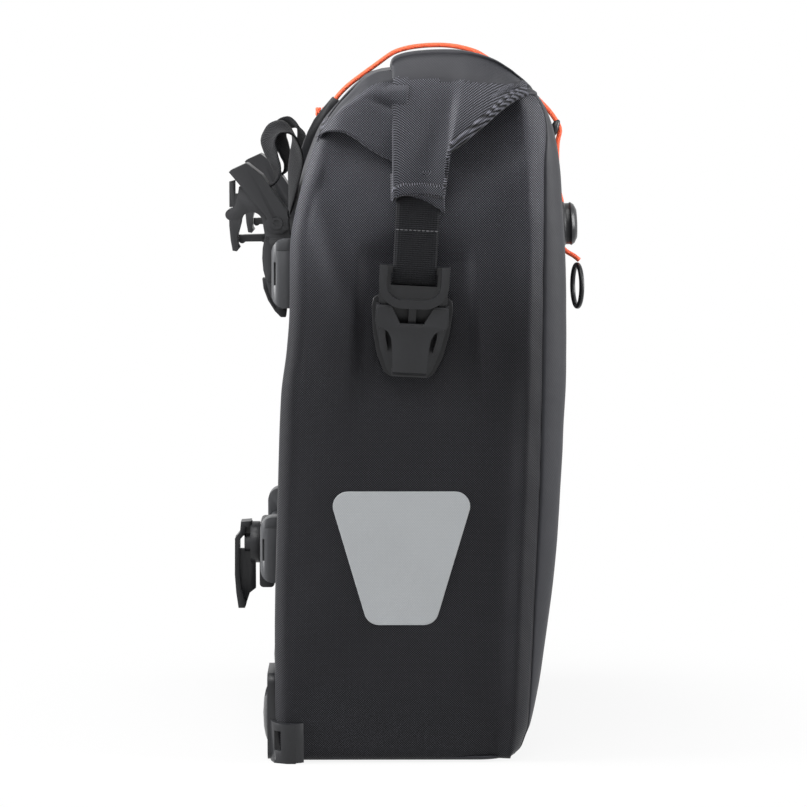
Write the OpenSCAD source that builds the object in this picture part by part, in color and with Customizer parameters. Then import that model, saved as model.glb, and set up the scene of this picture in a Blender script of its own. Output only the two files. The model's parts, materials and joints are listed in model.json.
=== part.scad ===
// Roll-top rear pannier bag for a bicycle rack.
// The outer face looks along -Y and the rack side looks along +Y. The bag stands on z = 0.

/* [Bag] */
// Height of the fabric walls up to the rolled mouth
body_h = 406; // [380:1:430]
// Half width of the bag at its base
base_half = 115; // [105:1:125]
// Half width of the bag at the top of its walls
top_half = 163; // [155:1:175]
// Thickness of the coated fabric walls
wall = 1.6; // [1.2:0.1:2.2]
// Height of the side walls above the standing plane
sole_h = 5; // [4:0.5:6]
// Rounding of the rear upright edges
rear_round = 9; // [6:0.5:12]
// Rounding of the front upright edges
front_round = 20; // [15:1:26]
// How far the front wall swells outward in the middle
front_swell = 4; // [2:0.5:6]
// How far the rear slope bulges in the middle
rear_bulge = 4; // [2:0.5:5]
// Thickness of the plastic stiffener behind the rear wall
board_t = 2; // [1.5:0.1:3]

/* [Roll closure] */
// Width of the rolled band over the top
roll_w = 27; // [22:1:32]
// Thickness of the rolled band over the top
roll_t = 13; // [10:0.5:16]
// Thickness of the folded end that hangs down each side
tongue_t = 6; // [4:0.5:8]
// Length of the folded end below the top of the walls
tongue_drop = 70; // [60:1:76]

/* [Closure buckles] */
// Width of the webbing in the buckles
web_w = 25; // [20:1:28]
// Thickness of the webbing
web_t = 1.6; // [1.2:0.1:2]
// Width of the socket face across its arms
socket_w = 42; // [40:1:46]
// Height of the socket from foot to arm tops
socket_h = 41; // [38:1:46]
// Depth of the socket off its base plate
socket_d = 11; // [10:0.5:13]
// Height of the socket foot above the standing plane
socket_z = 236; // [228:1:244]
// Radius of the finger loop on the plug
loop_r = 20; // [18:0.5:22]
// Thickness of the finger loop's ring
loop_t = 4.6; // [4:0.2:6]

/* [Reflectors] */
// Width of a reflector along its upper edge
reflector_top = 80; // [70:1:90]
// Width of a reflector along its lower edge
reflector_foot = 44; // [36:1:60]

/* [Rails] */
// Length of the upper rail
rail_len = 248; // [230:1:260]
// Height from the upper rail's head up to the top of the walls
rail_drop = 127; // [124:1:130]
// Height of the rail head
rail_h = 25.5; // [22:0.5:27]
// Depth of the rail head
rail_d = 6.6; // [6:0.2:8]
// Depth of the rail's neck between the head and the rear wall
neck_d = 2.4; // [2:0.2:3]
// Length of the lower rail
low_rail_len = 132; // [110:1:150]
// Height of the lower edge of the lower rail's head
low_rail_z = 108; // [104:1:112]
// Height of the lower rail's head
low_rail_h = 18; // [16:0.5:20]

/* [Rack hooks] */
// Width of a hook along the rail
hook_w = 22; // [20:1:26]
// Radius of the largest rack tube that the hooks take
tube_r = 6.5; // [5.5:0.1:6.6]
// Width of the latch arm inside the hook
latch_w = 8; // [6:0.5:10]
// Radius of the latch pivot pin
pin_r = 2.5; // [2:0.1:3]

/* [Lower hook] */
// Width of the lower hook carrier along the rail
carrier_w = 34; // [28:1:40]
// Radius of the pin on which the lower hook turns
low_pin_r = 3; // [2.5:0.1:3.5]

/* [Front fittings] */
// Height of the cord guide stud on the front wall
stud_z = 314; // [300:1:325]
// Radius of the cord guide stud
stud_r = 14; // [12:0.5:16]
// Thickness of the pull ring's bar
ring_bar = 3.2; // [2.6:0.2:4]
// Outer height of the pull ring
ring_h = 29; // [24:1:34]
// Diameter of the elastic cord
cord_d = 3; // [2.4:0.2:3.6]

/* [Hidden] */
$fn = 48;

run_gap = 0.3;      // clearance of parts that slide or swing past each other
pin_gap = 0.05;     // radial clearance of a pin that turns in its bore
roll_sag = 3;       // how far the ends of the roll sit below its middle

// Depth of the rear wall at each height
rear_line = [
  [0, 79.5], [70, 79.5], [166, 77], [220, 75], [body_h - 157, 71], [body_h - 134, 69], [body_h - 96, 69],
  [body_h - 65, 62.6], [body_h - 42, 55.6], [body_h - 28, 49.9], [body_h - 17, 42.5],
  [body_h - 7, 34], [body_h, 26]
];
// Depth of the front wall at each height, measured at its upright edges
front_line = [
  [0, -65], [6, -67], [20, -72], [45, -76.5], [82, -81], [118, -84.5], [154, -87],
  [237, -90], [body_h - 99, -88.5], [body_h - 54, -86.5], [body_h - 34, -85.5],
  [body_h - 25, -83.5], [body_h - 16, -77.5], [body_h - 6, -66.5], [body_h, -58]
];
// Depth of the rounded front edge, from the seam to the front wall
edge_line = [[0, 3], [20, 3.4], [45, 5], [118, 10.5], [237, 13.5], [body_h - 54, 10.5], [body_h, 7]];
// Share of the full front swell at each height
swell_line = [[0, 0.1], [60, 0.8], [150, 1], [body_h - 56, 1], [body_h - 20, 0.2], [body_h, 0.1]];
// Heights of the rows of points in the walls
row_z = [
  sole_h, 20, 45, 82, 118, 166, 220, body_h - 157, body_h - 134, body_h - 96, body_h - 65, body_h - 42,
  body_h - 28, body_h - 17, body_h - 7, body_h
];

function rear_y(z) = lookup(z, rear_line);
function front_y(z) = lookup(z, front_line);
function half_w(z) = base_half + (top_half - base_half) * z / body_h;
function seam_y(z) = front_y(z) + lookup(z, edge_line);
// Share of the rear bulge at each height, above the rail
bulge_line = [[body_h - 96, 0], [body_h - 61, 1], [body_h - 34, 0.8], [body_h - 17, 0]];
function bulge(x, z) = rear_bulge * lookup(z, bulge_line) * (1 - pow(x / half_w(z), 2));
function swell(x, z) = front_swell * lookup(z, swell_line) * (1 - pow(x / half_w(z), 2));
// Height lost towards the ends of the roof
function droop(x, z) = roll_sag * pow(x / top_half, 2) * max(0, (z - body_h + 66) / 66);

// Points round the bag at one height, inset by t. They run along the rear wall to the left,
// down the left side, along the front wall to the right and back up the right side.
rear_n = 8;         // segments in the flat of the rear wall
corner_n = 2;       // segments in half of a rear edge
side_n = 5;         // segments in the flat of a side wall
edge_n = 4;         // segments in a front edge
front_n = 8;        // segments in the flat of the front wall

function rear_point(z, x, y) = [x, y + bulge(x, z)];
function rear_corner(z, t, s, a) = rear_point(z,
  s * (half_w(z) - rear_round + (rear_round - t) * cos(a)),
  rear_y(z) - rear_round + (rear_round - t) * sin(a));
function front_point(z, t, x, y) = [x, y - swell(x, z)];
function front_edge(z, t, s, a) =
  let (b = lookup(z, edge_line))
  front_point(z, t, s * (half_w(z) - front_round + (front_round - t) * cos(a)),
    front_y(z) + b - (b - t) * sin(a));

function rear_run(z, t) = concat(
  [for (i = [0:corner_n - 1]) rear_corner(z, t, 1, 45 + 45 * i / corner_n)],
  [for (i = [0:rear_n])
    rear_point(z, (half_w(z) - rear_round) * (1 - 2 * i / rear_n), rear_y(z) - t)],
  [for (i = [1:corner_n]) rear_corner(z, t, -1, 90 - 45 * i / corner_n)]);
function left_run(z, t) = concat(
  [for (i = [0:corner_n - 1]) rear_corner(z, t, -1, 45 - 45 * i / corner_n)],
  [for (i = [0:side_n]) [t - half_w(z),
    rear_y(z) - rear_round + (seam_y(z) - rear_y(z) + rear_round) * i / side_n]]);
function front_run(z, t) = concat(
  [for (i = [0:edge_n - 1]) front_edge(z, t, -1, 90 * i / edge_n)],
  [for (i = [0:front_n]) front_point(z, t,
    (half_w(z) - front_round) * (2 * i / front_n - 1), front_y(z) + t)],
  [for (i = [1:edge_n]) front_edge(z, t, 1, 90 - 90 * i / edge_n)]);
function right_run(z, t) = [for (p = left_run(z, t)) [-p[0], p[1]]];

function lift(points, z) = [for (p = points) [p[0], p[1], z - droop(p[0], z)]];
function flip(list) = [for (i = [len(list) - 1:-1:0]) list[i]];

// Closed skin between an outer and an inner grid of points. Rows run upwards and columns
// run to the right as seen from outside.
module skin(outer, inner) {
  rows = len(outer);
  cols = len(outer[0]);
  n = rows * cols;
  function quad(a, b, c, d) = [[a, b, c], [a, c, d]];
  face_cells = [for (i = [0:rows - 2]) for (j = [0:cols - 2]) i * cols + j];
  faces = concat(
    [for (k = face_cells) each quad(k, k + cols, k + cols + 1, k + 1)],
    [for (k = face_cells) each quad(n + k, n + k + 1, n + k + cols + 1, n + k + cols)],
    [for (j = [0:cols - 2]) each quad(j, j + 1, n + j + 1, n + j)],
    [for (j = [0:cols - 2]) let (k = n - cols + j) each quad(k, n + k, n + k + 1, k + 1)],
    [for (i = [0:rows - 2]) let (k = i * cols) each quad(k, n + k, n + k + cols, k + cols)],
    [for (i = [0:rows - 2]) let (k = i * cols + cols - 1)
      each quad(k, k + cols, n + k + cols, n + k)]);
  polyhedron(concat([for (r = outer) each r], [for (r = inner) each r]), faces, 6);
}

// Closed solid through a list of rings with the same number of points, capped at both ends.
// The rings turn anticlockwise as seen from the first one towards the last.
module stack(rings) {
  m = len(rings[0]);
  last = (len(rings) - 1) * m;
  faces = concat(
    [[for (j = [m - 1:-1:0]) j]],
    [for (i = [0:len(rings) - 2]) for (j = [0:m - 1])
      let (a = i * m + j, b = i * m + (j + 1) % m) each [[a, b, b + m], [a, b + m, a + m]]],
    [[for (j = [0:m - 1]) last + j]]);
  polyhedron([for (r = rings) each r], faces, 6);
}

// Extrudes an outline drawn in depth and height along X, from x0 to x1 or centred at x.
module slab(x, width) {
  along_x(x - width / 2, x + width / 2)
  children();
}
module along_x(x0, x1) {
  translate([x0, 0, 0])
  rotate([90, 0, 90])
  linear_extrude(x1 - x0)
  children();
}

// ---------------------------------------------------------------- fabric shell

module wall_skin(run) {
  skin([for (z = row_z) lift(run[0](z), z)], [for (z = row_z) lift(run[1](z), z)]);
}

module back_panel() {
  color("#3b3c40")
  difference() {
    wall_skin([function(z) rear_run(z, 0), function(z) rear_run(z, wall)]);
    rail_screw_holes(screw_r + run_gap / 2);
    low_screw_holes(screw_r + run_gap / 2);
    guard_screw_holes(screw_r + run_gap / 2);
  }
}

module side_panel_left() {
  color("#35363a")
  wall_skin([function(z) left_run(z, 0), function(z) left_run(z, wall)]);
}

module side_panel_right() {
  color("#35363a")
  wall_skin([function(z) flip(right_run(z, 0)), function(z) flip(right_run(z, wall))]);
}

module front_panel() {
  color("#3b3c40")
  wall_skin([function(z) front_run(z, 0), function(z) front_run(z, wall)]);
}

// One ring round the whole bag at the foot of the walls, pulled in by t at the front and
// sides and by t + r at the rear, and set at height h.
function sole_ring(t, r, h) =
  let (z = sole_h,
    w = half_w(z) - t, y1 = rear_y(z) - t - r, y0 = front_y(z) + t + 1, c = front_round)
  concat(
    [for (a = [0:30:90]) [w - rear_round * (1 - cos(a)), y1 - rear_round * (1 - sin(a)), h]],
    [for (a = [90:30:180]) [-w + rear_round * (1 + cos(a)), y1 - rear_round * (1 - sin(a)), h]],
    [for (a = [180:30:270]) [-w + c * (1 + cos(a)), y0 + c * (1 + sin(a)), h]],
    [for (a = [270:30:360]) [w - c * (1 - cos(a)), y0 + c * (1 + sin(a)), h]]);

module base_panel() {
  color("#303135")
  stack([
    sole_ring(wall + 12, 12, wall),
    sole_ring(wall, 0, sole_h - 0.05),
    sole_ring(0.4, 0, sole_h - 0.05),
    sole_ring(5, 4, 3.4),
    sole_ring(10, 14, 0)
  ]);
}

// Stiffening board behind the rear wall, screwed to the rails from outside.
board_top = body_h - 100;
board_foot = 30;
function board_y(z) = rear_y(z) - wall - 0.05;
module rear_board() {
  rows = [for (z = row_z) if (z >= board_foot - 10 && z <= board_top + 4)
    min(board_top, max(board_foot, z))];
  color("#1d1e20")
  difference() {
    stack([for (z = rows) let (w = half_w(z) - 2 * rear_round) [
      [-w, board_y(z), z], [w, board_y(z), z],
      [w, board_y(z) - board_t, z], [-w, board_y(z) - board_t, z]]]);
    rail_screw_holes(screw_r + run_gap / 2);
    low_screw_holes(screw_r + run_gap / 2);
    guard_screw_holes(screw_r + run_gap / 2);
  }
}

// ---------------------------------------------------------------- roof and rolled mouth

roof_z = body_h + 15;         // top of the roll in the middle
roll_y = 10;                  // rear face of the roll
shoulder = 9;                 // rounding of the roof at its ends

// Section of the roof in depth and height, from its rear edge over the roll to the front
roof_line = [
  [26, body_h + 0.1], [13, body_h + 4], [roll_y + 1, body_h + 4], [roll_y, roof_z - 7.5],
  [roll_y - 4, roof_z - 4], [-2, roof_z - 1.3], [-20, roof_z], [-38, roof_z - 2],
  [-50, roof_z - 7.5], [-58, body_h + 0.1]
];
function roof_ring(x, share) = [for (p = roof_line)
  [x, p[0], body_h + 0.1 + (p[1] - body_h - 0.1) * share - droop(x, body_h)]];

module roll_closure() {
  w = half_w(body_h);
  xs = [for (i = [-6:6]) i / 6 * (w - shoulder)];
  color("#3f4044")
  stack(concat(
    [roof_ring(-w, 0.45), roof_ring(-w + shoulder * 0.3, 0.82)],
    [for (x = xs) roof_ring(x, 1)],
    [roof_ring(w - shoulder * 0.3, 0.82), roof_ring(w, 0.45)]));
}

// Outline of the folded end on the side wall: towards the front, and up from its lower edge
module tongue_outline() {
  polygon([
    [-7.5, 2], [-5.5, 0], [18.8, 0], [20.8, 2], [22.4, 27], [50.6, 43.5], [76, 53], [75, 57],
    [66, 66], [52, 76], [34, 80], [-6, 79], [-10, 74], [-9, 40]
  ]);
}
// The walls' drooping tops stand a little prouder than the straight slope below them
tongue_gap = run_gap + roll_sag * (top_half - base_half) / body_h;
module tongue() {
  on_left(0, body_h - tongue_drop)
  translate([0, 0, tongue_gap])
  linear_extrude(tongue_t)
  tongue_outline();
}
module roll_end_left() {
  color("#3f4044")
  tongue();
}
module roll_end_right() {
  color("#3f4044")
  mirror([1, 0, 0])
  tongue();
}

// ---------------------------------------------------------------- rails and their fasteners

seat_gap = 0.05;              // flat faces that are screwed together stand this far apart
cap_tall = 40;
cap_rise = 4;                 // how far the lower rail's caps sit above the middle of the rail
rail_z = body_h - rail_drop;
rail_mid = rail_z + rail_h / 2;
low_rail_mid = low_rail_z + low_rail_h / 2;
neck_inset = 4.5;             // how far the head overhangs its neck above and below
// Depth at which a flat rear face of a cap, centred at height z, clears the rear wall
function cap_seat(z) = seat_gap + max([for (s = [-1:1]) rear_y(z + s * cap_tall / 2)]);
rail_y = cap_seat(rail_mid);
low_rail_y = cap_seat(low_rail_mid + cap_rise);
head_round = 3;
screw_r = 2;
screw_head_r = 3.8;
screw_head_t = 2.2;
screw_socket_r = 1.6;
screw_past = 3;               // how far a screw's tip stands out behind the board
nut_r = 3.6;
nut_gap = 0.15;               // between a nut and the board
through = 12;                 // how far a bore runs past what it pierces
cap_len = 14;
cap_round = 8;                // rounding of a cap's upper and lower outer edges
cap_edge = 5;                 // rounding of its end
cap_slit = 1.2;               // width of the slit in its end
groove = 0.5;                 // depth and half width of a parting groove

// Rectangle with round corners, from the origin
module rounded(w, h, r) {
  translate([r, 0])
  square([w - 2 * r, h]);
  translate([0, r])
  square([w, h - 2 * r]);
  for (x = [r, w - r])
    for (y = [r, h - r])
      translate([x, y])
      circle(r);
}

// Mushroom section of a rail whose rear face is at depth y and whose head starts at height z,
// grown by g all round
module rail_section(y, z, h, g) {
  translate([y - g, z + neck_inset - g])
  square([neck_d + head_round + g, h - 2 * neck_inset + 2 * g]);
  translate([y + neck_d - g, z - g])
  rounded(rail_d + 2 * g, h + 2 * g, head_round + g);
}

// Screw holes and screws run along Y from the outside of the rail into the board.
rail_screw_x = [-96, -32, 32, 96] * (rail_len / 248);
low_screw_x = [-1, 1] * (low_rail_len / 2 - 14);
module rod_y(y0, y1, x, z, r) {
  translate([x, y0, z])
  rotate([-90, 0, 0])
  cylinder(h = y1 - y0, r = r);
}
module rail_screw_holes(r) {
  for (x = rail_screw_x)
    rod_y(rail_y - through, rail_y + through, x, rail_mid, r);
}
module low_screw_holes(r) {
  for (x = low_screw_x)
    rod_y(low_rail_y - through, low_rail_y + through, x, low_rail_mid, r);
}
// Bores with recesses for the heads, for screws at places xs along a rail
module head_bores(xs, y, mid) {
  face = y + neck_d + rail_d;
  for (x = xs) {
    rod_y(y - through, face, x, mid, screw_r + pin_gap);
    rod_y(face - screw_head_t, face + through, x, mid, screw_head_r + pin_gap);
  }
}
function screw_tip(z) = board_y(z) - board_t - screw_past;
module screw(x, z, face_y) {
  rod_y(screw_tip(z), face_y - screw_head_t + 0.01, x, z, screw_r);
  difference() {
    rod_y(face_y - screw_head_t, face_y - 0.2, x, z, screw_head_r);
    rod_y(face_y - 1.2, face_y, x, z, screw_socket_r);
  }
  // nut behind the board
  rod_y(screw_tip(z) + 0.6, board_y(z) - board_t - nut_gap, x, z, nut_r);
}

module rail(len, y, z, h) {
  face = y + neck_d + rail_d;
  difference() {
    along_x(-len / 2, len / 2)
    difference() {
      rail_section(y, z, h, 0);
      // two shallow grooves along the outer face
      for (k = [0.24, 0.76])
        translate([face - 0.8, z + h * k - 1])
        square([2, 2]);
    }
    children();
  }
}
module upper_rail() {
  color("#4a4b4f")
  rail(rail_len, rail_y, rail_z, rail_h)
  head_bores(rail_screw_x, rail_y, rail_mid);
}
module upper_rail_screws() {
  color("#8d9096")
  for (x = rail_screw_x)
    screw(x, rail_mid, rail_y + neck_d + rail_d);
}
module lower_rail() {
  color("#4a4b4f")
  rail(low_rail_len, low_rail_y, low_rail_z, low_rail_h)
  head_bores(low_screw_x, low_rail_y, low_rail_mid);
}
module lower_rail_screws() {
  color("#8d9096")
  for (x = low_screw_x)
    screw(x, low_rail_mid, low_rail_y + neck_d + rail_d);
}

// Rounded cap that closes the +X end of a rail. It has a tenon-shaped recess round the rail.
cap_over = 8;                 // how far a cap covers the rail's end
module rail_cap(half_len, y, mid, z, h) {
  deep = neck_d + rail_d + 2;
  difference() {
    intersection() {
      along_x(half_len - cap_over, half_len + cap_len - cap_over)
      translate([y, mid - cap_tall / 2]) {
        square([deep - cap_round, cap_tall]);
        translate([0, cap_round])
        square([deep, cap_tall - 2 * cap_round]);
        for (end = [cap_round, cap_tall - cap_round])
          translate([deep - cap_round, end])
          circle(cap_round);
      }
      translate([half_len - cap_over, y, mid - cap_tall])
      linear_extrude(2 * cap_tall) {
        square([cap_len, deep - cap_edge]);
        square([cap_len - cap_edge, deep]);
        translate([cap_len - cap_edge, deep - cap_edge])
        circle(cap_edge);
      }
    }
    along_x(half_len - cap_over - 1, half_len + 0.1)
    rail_section(y, z, h, 0.1);
    // slit in the end, level with the rail's face
    along_x(half_len + cap_len - cap_over - 4, half_len + cap_len)
    translate([y + neck_d + rail_d - cap_slit / 2, mid - cap_tall / 6])
    square([cap_slit, cap_tall / 3]);
    // parting groove across the end, above the rail
    translate([half_len + cap_len - cap_over - groove, y - 1, mid + cap_tall / 3 - groove])
    cube([2 * groove, deep + 2, 2 * groove]);
  }
}
module caps(half_len, y, mid, z, h) {
  color("#2b2c2f") {
    rail_cap(half_len, y, mid, z, h);
    mirror([1, 0, 0])
    rail_cap(half_len, y, mid, z, h);
  }
}
module upper_rail_caps() {
  caps(rail_len / 2, rail_y, rail_mid, rail_z, rail_h);
}
module lower_rail_caps() {
  caps(low_rail_len / 2, low_rail_y, low_rail_mid + cap_rise, low_rail_z, low_rail_h);
}

// ---------------------------------------------------------------- upper rack hooks

skirt_t = 2.6;                // thickness of the lift lever's side plates
hook_x = rail_len / 2 - cap_over - hook_w / 2 - skirt_t - 2 * run_gap;
// Points of the hook, as depth and height from the rail's rear face and mid height
seat = [22.95, 28.4];         // middle of the rack tube
lever_pivot = [8.25, 28.5];
catch_pivot = [13.6, 19.4];
lock_pivot = [12, -5.8];
small_pin_r = 1.2;
catch_len = 17.4;             // from the catch's pivot to its tip
catch_root = 3.4;             // radius of the catch round its pivot
swing_x = catch_pivot[0] + catch_len + run_gap;   // outer wall of the mouth, past the catch's tip
lock_w = 10;                  // width of the lock lever
nose_r = norm(lever_pivot - catch_pivot) - catch_root - run_gap;

module from_rail() {
  translate([rail_y, rail_mid])
  children();
}
module hook_outline() {
  difference() {
    union() {
      polygon([
        [0.3, -20.5], [4.5, -21.8], [8, -21.4], [11, -17.6], [13.2, -11.8], [14.9, -4.2],
        [16.3, 1], [16.9, 8], [16.6, 14], [15.2, 21], [seat[0] - tube_r, seat[1]],
        [seat[0] + tube_r, seat[1]], [swing_x, catch_pivot[1] + 2], [swing_x, 15.5],
        [swing_x - 1, 13.6], [31.6, 12],
        [34.1, 12.4], [35.2, 18.5], [36, 27.2], [36, 34.8], [32.6, 39.2], [31, 44.2],
        [30.2, 49.6], [15, 47.2], [4, 32.4], [1, 24.6], [0.3, 20]
      ]);
      translate(seat + [12, 5])
      circle(3.3);
    }
    translate(seat)
    circle(tube_r);
    translate([-rail_y, -rail_mid])
    rail_section(rail_y, rail_z, rail_h, run_gap);
  }
}
// Room for the catch and for the lift lever's nose
module catch_room() {
  translate(catch_pivot)
  circle(catch_root + run_gap);
  translate([catch_pivot[0] - 2.5, catch_pivot[1] - catch_len - 2.5])
  square([12, catch_len + 2.5]);
  translate(lever_pivot)
  circle(nose_r + run_gap);
  polygon([[8.25, 21.3], [-3, 21.3], [-3, 40], [9, 52], [16, 47], [15.4, 30]]);
}
module lock_room() {
  translate(lock_pivot)
  circle(6.3);
  translate([2.5, -30])
  square([20, 30 + lock_pivot[1]]);
}
module hook_body() {
  half = hook_w / 2;
  slot = latch_w / 2 + run_gap;
  lock_slot = lock_w / 2 + run_gap;
  difference() {
    union() {
      along_x(-half, half)
      from_rail()
      hook_outline();
      // upright tab on the inner cheek
      along_x(half - 3, half)
      from_rail()
      polygon([[33.2, 37], [36.8, 37], [36.8, 52], [33.2, 53], [33.2, 45], [30.6, 45], [32, 38]]);
    }
    along_x(-slot, slot)
    from_rail()
    catch_room();
    along_x(-lock_slot, lock_slot)
    from_rail()
    lock_room();
    pin_bores(pin_r, lever_pivot);
    pin_bores(small_pin_r, catch_pivot);
    pin_bores(small_pin_r, lock_pivot);
  }
}
module pin_bores(r, p) {
  along_x(-hook_w, hook_w)
  from_rail()
  translate(p)
  circle(r);
}
// A pin along X at point p, with flat heads outside the parts that it holds
module pin(r, p, half, head_r, head_t) {
  along_x(-half, half)
  from_rail()
  translate(p)
  circle(r - pin_gap);
  for (s = [-1, 1])
    difference() {
      slab(s * (half + head_t / 2), head_t)
      from_rail()
      translate(p)
      circle(head_r);
      // hexagonal recess in the head
      slab(s * (half + head_t), head_t)
      from_rail()
      translate(p)
      circle(head_r - 1.2, $fn = 6);
    }
}

strap_w = 20;                 // width of the handle webbing
strap_t = 1.4;
strap_slot = [12.93, 49.2];   // middle of its slot in the lever's top plate
lever_half = hook_w / 2 + run_gap + skirt_t;
// Outer edge of the lever, then the rest of its side plates and of its top plate
lever_top = [[35.9, 58.2], [34.8, 59.4], [26.05, 63.4], [24.8, 62.8], [16.7, 56.4], [2, 35]];
lever_side = [[1.2, 25.4], [5, 22.4], [11, 23], [14.5, 32.6]];
lever_under = [[3.2, 34], [18.5, 54.6], [26.4, 60.6], [35, 57.2]];
module lift_lever() {
  in_half = hook_w / 2 + run_gap;
  difference() {
    union() {
      for (s = [-1, 1])
        slab(s * (in_half + skirt_t / 2), skirt_t)
        from_rail() {
          polygon(concat(lever_top, lever_side));
          translate(lever_pivot)
          circle(6.2);
        }
      // top plate between the side plates
      along_x(-in_half - 0.1, in_half + 0.1)
      from_rail()
      polygon(concat(lever_top, lever_under));
      // nose that works the catch
      along_x(-latch_w / 2, latch_w / 2)
      from_rail() {
        translate(lever_pivot)
        circle(nose_r);
        polygon([[8.25, 22.3], [2.6, 24.8], [3.2, 34.4], [9, 42.4], [12.4, 33.6]]);
      }
    }
    // slot for the handle webbing, square to the top plate
    along_x(-strap_w / 2 - run_gap, strap_w / 2 + run_gap)
    from_rail()
    translate(strap_slot)
    rotate(atan2(lever_under[1][1] - lever_under[0][1], lever_under[1][0] - lever_under[0][0]))
    square([strap_t + 2 * run_gap, 6], center = true);
    pin_bores(pin_r, lever_pivot);
  }
}
module catch() {
  difference() {
    along_x(-latch_w / 2, latch_w / 2)
    from_rail()
    translate(catch_pivot) {
      circle(catch_root);
      polygon([[0, -3.2], [4, -2], [14.6, -2.1], [14.6, 1.9], [3, 2.2], [0, 3.2]]);
      translate([catch_len - 2.2, -1])
      circle(2.1);
      translate([13, -1])
      square([4.1, 2.8]);
    }
    pin_bores(small_pin_r, catch_pivot);
  }
}
// Crescent lever with an eye round its pin and a tooth that stands under the rail head
module rail_lock() {
  eye_r = 3;
  difference() {
    along_x(-lock_w / 2, lock_w / 2)
    from_rail()
    polygon(concat(
      [for (a = [-60:-30:-330]) lock_pivot + eye_r * [cos(a), sin(a)]],
      [
        [17.2, -4], [16.5, -10], [13.9, -17], [9.9, -23.4], [6.4, -27], [3.4, -27], [2.8, -22.4],
        [4.2, -22.4], [4.2, -13.2], [7.4, -13.2], [8.6, -21.6], [11.4, -17.7], [13.2, -12]
      ]));
    pin_bores(small_pin_r, lock_pivot);
  }
}

// Places a hook piece, drawn about x = 0, on the left or right; its tab faces the middle.
module at_hook(side) {
  if (side < 0)
    translate([-hook_x, 0, 0])
    children();
  else
    translate([hook_x, 0, 0])
    mirror([1, 0, 0])
    children();
}
module hook_body_left() {
  color("#34353a")
  at_hook(-1)
  hook_body();
}
module hook_body_right() {
  color("#34353a")
  at_hook(1)
  hook_body();
}
module lift_lever_left() {
  color("#2a2b2e")
  at_hook(-1)
  lift_lever();
}
module lift_lever_right() {
  color("#2a2b2e")
  at_hook(1)
  lift_lever();
}
module catch_left() {
  color("#303135")
  at_hook(-1)
  catch();
}
module catch_right() {
  color("#303135")
  at_hook(1)
  catch();
}
module rail_lock_left() {
  color("#26272a")
  at_hook(-1)
  rail_lock();
}
module rail_lock_right() {
  color("#26272a")
  at_hook(1)
  rail_lock();
}
module hook_pins() {
  pin(pin_r, lever_pivot, lever_half + 0.1, 3.5, 1);
  along_x(-hook_w / 2, hook_w / 2)
  from_rail()
  translate(catch_pivot)
  circle(small_pin_r - pin_gap);
  along_x(-hook_w / 2, hook_w / 2)
  from_rail()
  translate(lock_pivot)
  circle(small_pin_r - pin_gap);
}
module hook_pins_left() {
  color("#1c1d1f")
  at_hook(-1)
  hook_pins();
}
module hook_pins_right() {
  color("#1c1d1f")
  at_hook(1)
  hook_pins();
}

// ---------------------------------------------------------------- carrying handle

// Route of the handle webbing from the left lever to the middle. Each row holds a place from the
// lever's slot, as x, depth and height, then how far the webbing's width has turned from level
// to upright and how far it leans out of that.
strap_route = [
  [0, 0.8, -0.6, 0, 0], [0.3, -2.2, 1.6, 0, 0.05], [1.5, -4.4, 5, 0, 0.15], [3, -4.6, 10.2, 3, 0.25],
  [5.5, -2.6, 16.5, 6, 0.35], [9, -0.6, 23, 10, 0.35], [13, -1.2, 29, 14, 0.35],
  [18, -5.6, 33, 20, 0.35], [24, -11, 32.6, 28, 0.35], [31, -14.6, 27.6, 38, 0.35],
  [39, -15.6, 20, 48, 0.35], [47, -14, 12, 58, 0.3], [56, -12, 3.4, 68, 0.2],
  [66, -10.4, -4.2, 76, 0.1], [80, -9.4, -9.2, 84, 0]
];
function mirrored(p) = [-p[0], p[1], p[2]];
module handle_strap() {
  start = [-hook_x, rail_y + strap_slot[0], rail_mid + strap_slot[1]];
  n = len(strap_route);
  last = strap_route[n - 1];
  half = [for (r = strap_route) start + [r[0], r[1], r[2]]];
  middle = [0, start[1] + last[1] + 0.4, start[2] + last[2] - 1.8];
  points = concat(half, [middle, mirrored(half[n - 1])]);
  function ring(i, turn, tilt) =
    let (run = points[i + 1] - points[max(0, i - 1)], along = run / norm(run),
      guide = [cos(turn), tilt, sin(turn)], across = guide - (guide * along) * along,
      w = across / norm(across) * strap_w / 2, t = cross(along, w) / norm(w) * strap_t / 2)
    [points[i] + w + t, points[i] + w - t, points[i] - w - t, points[i] - w + t];
  left = [for (i = [0:n - 1]) ring(i, strap_route[i][3], strap_route[i][4])];
  color("#2c2d30")
  stack(concat(left, [ring(n, 90, 0)], flip([for (r = left) [for (q = r) mirrored(q)]])));
}

// ---------------------------------------------------------------- lower hook

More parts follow.
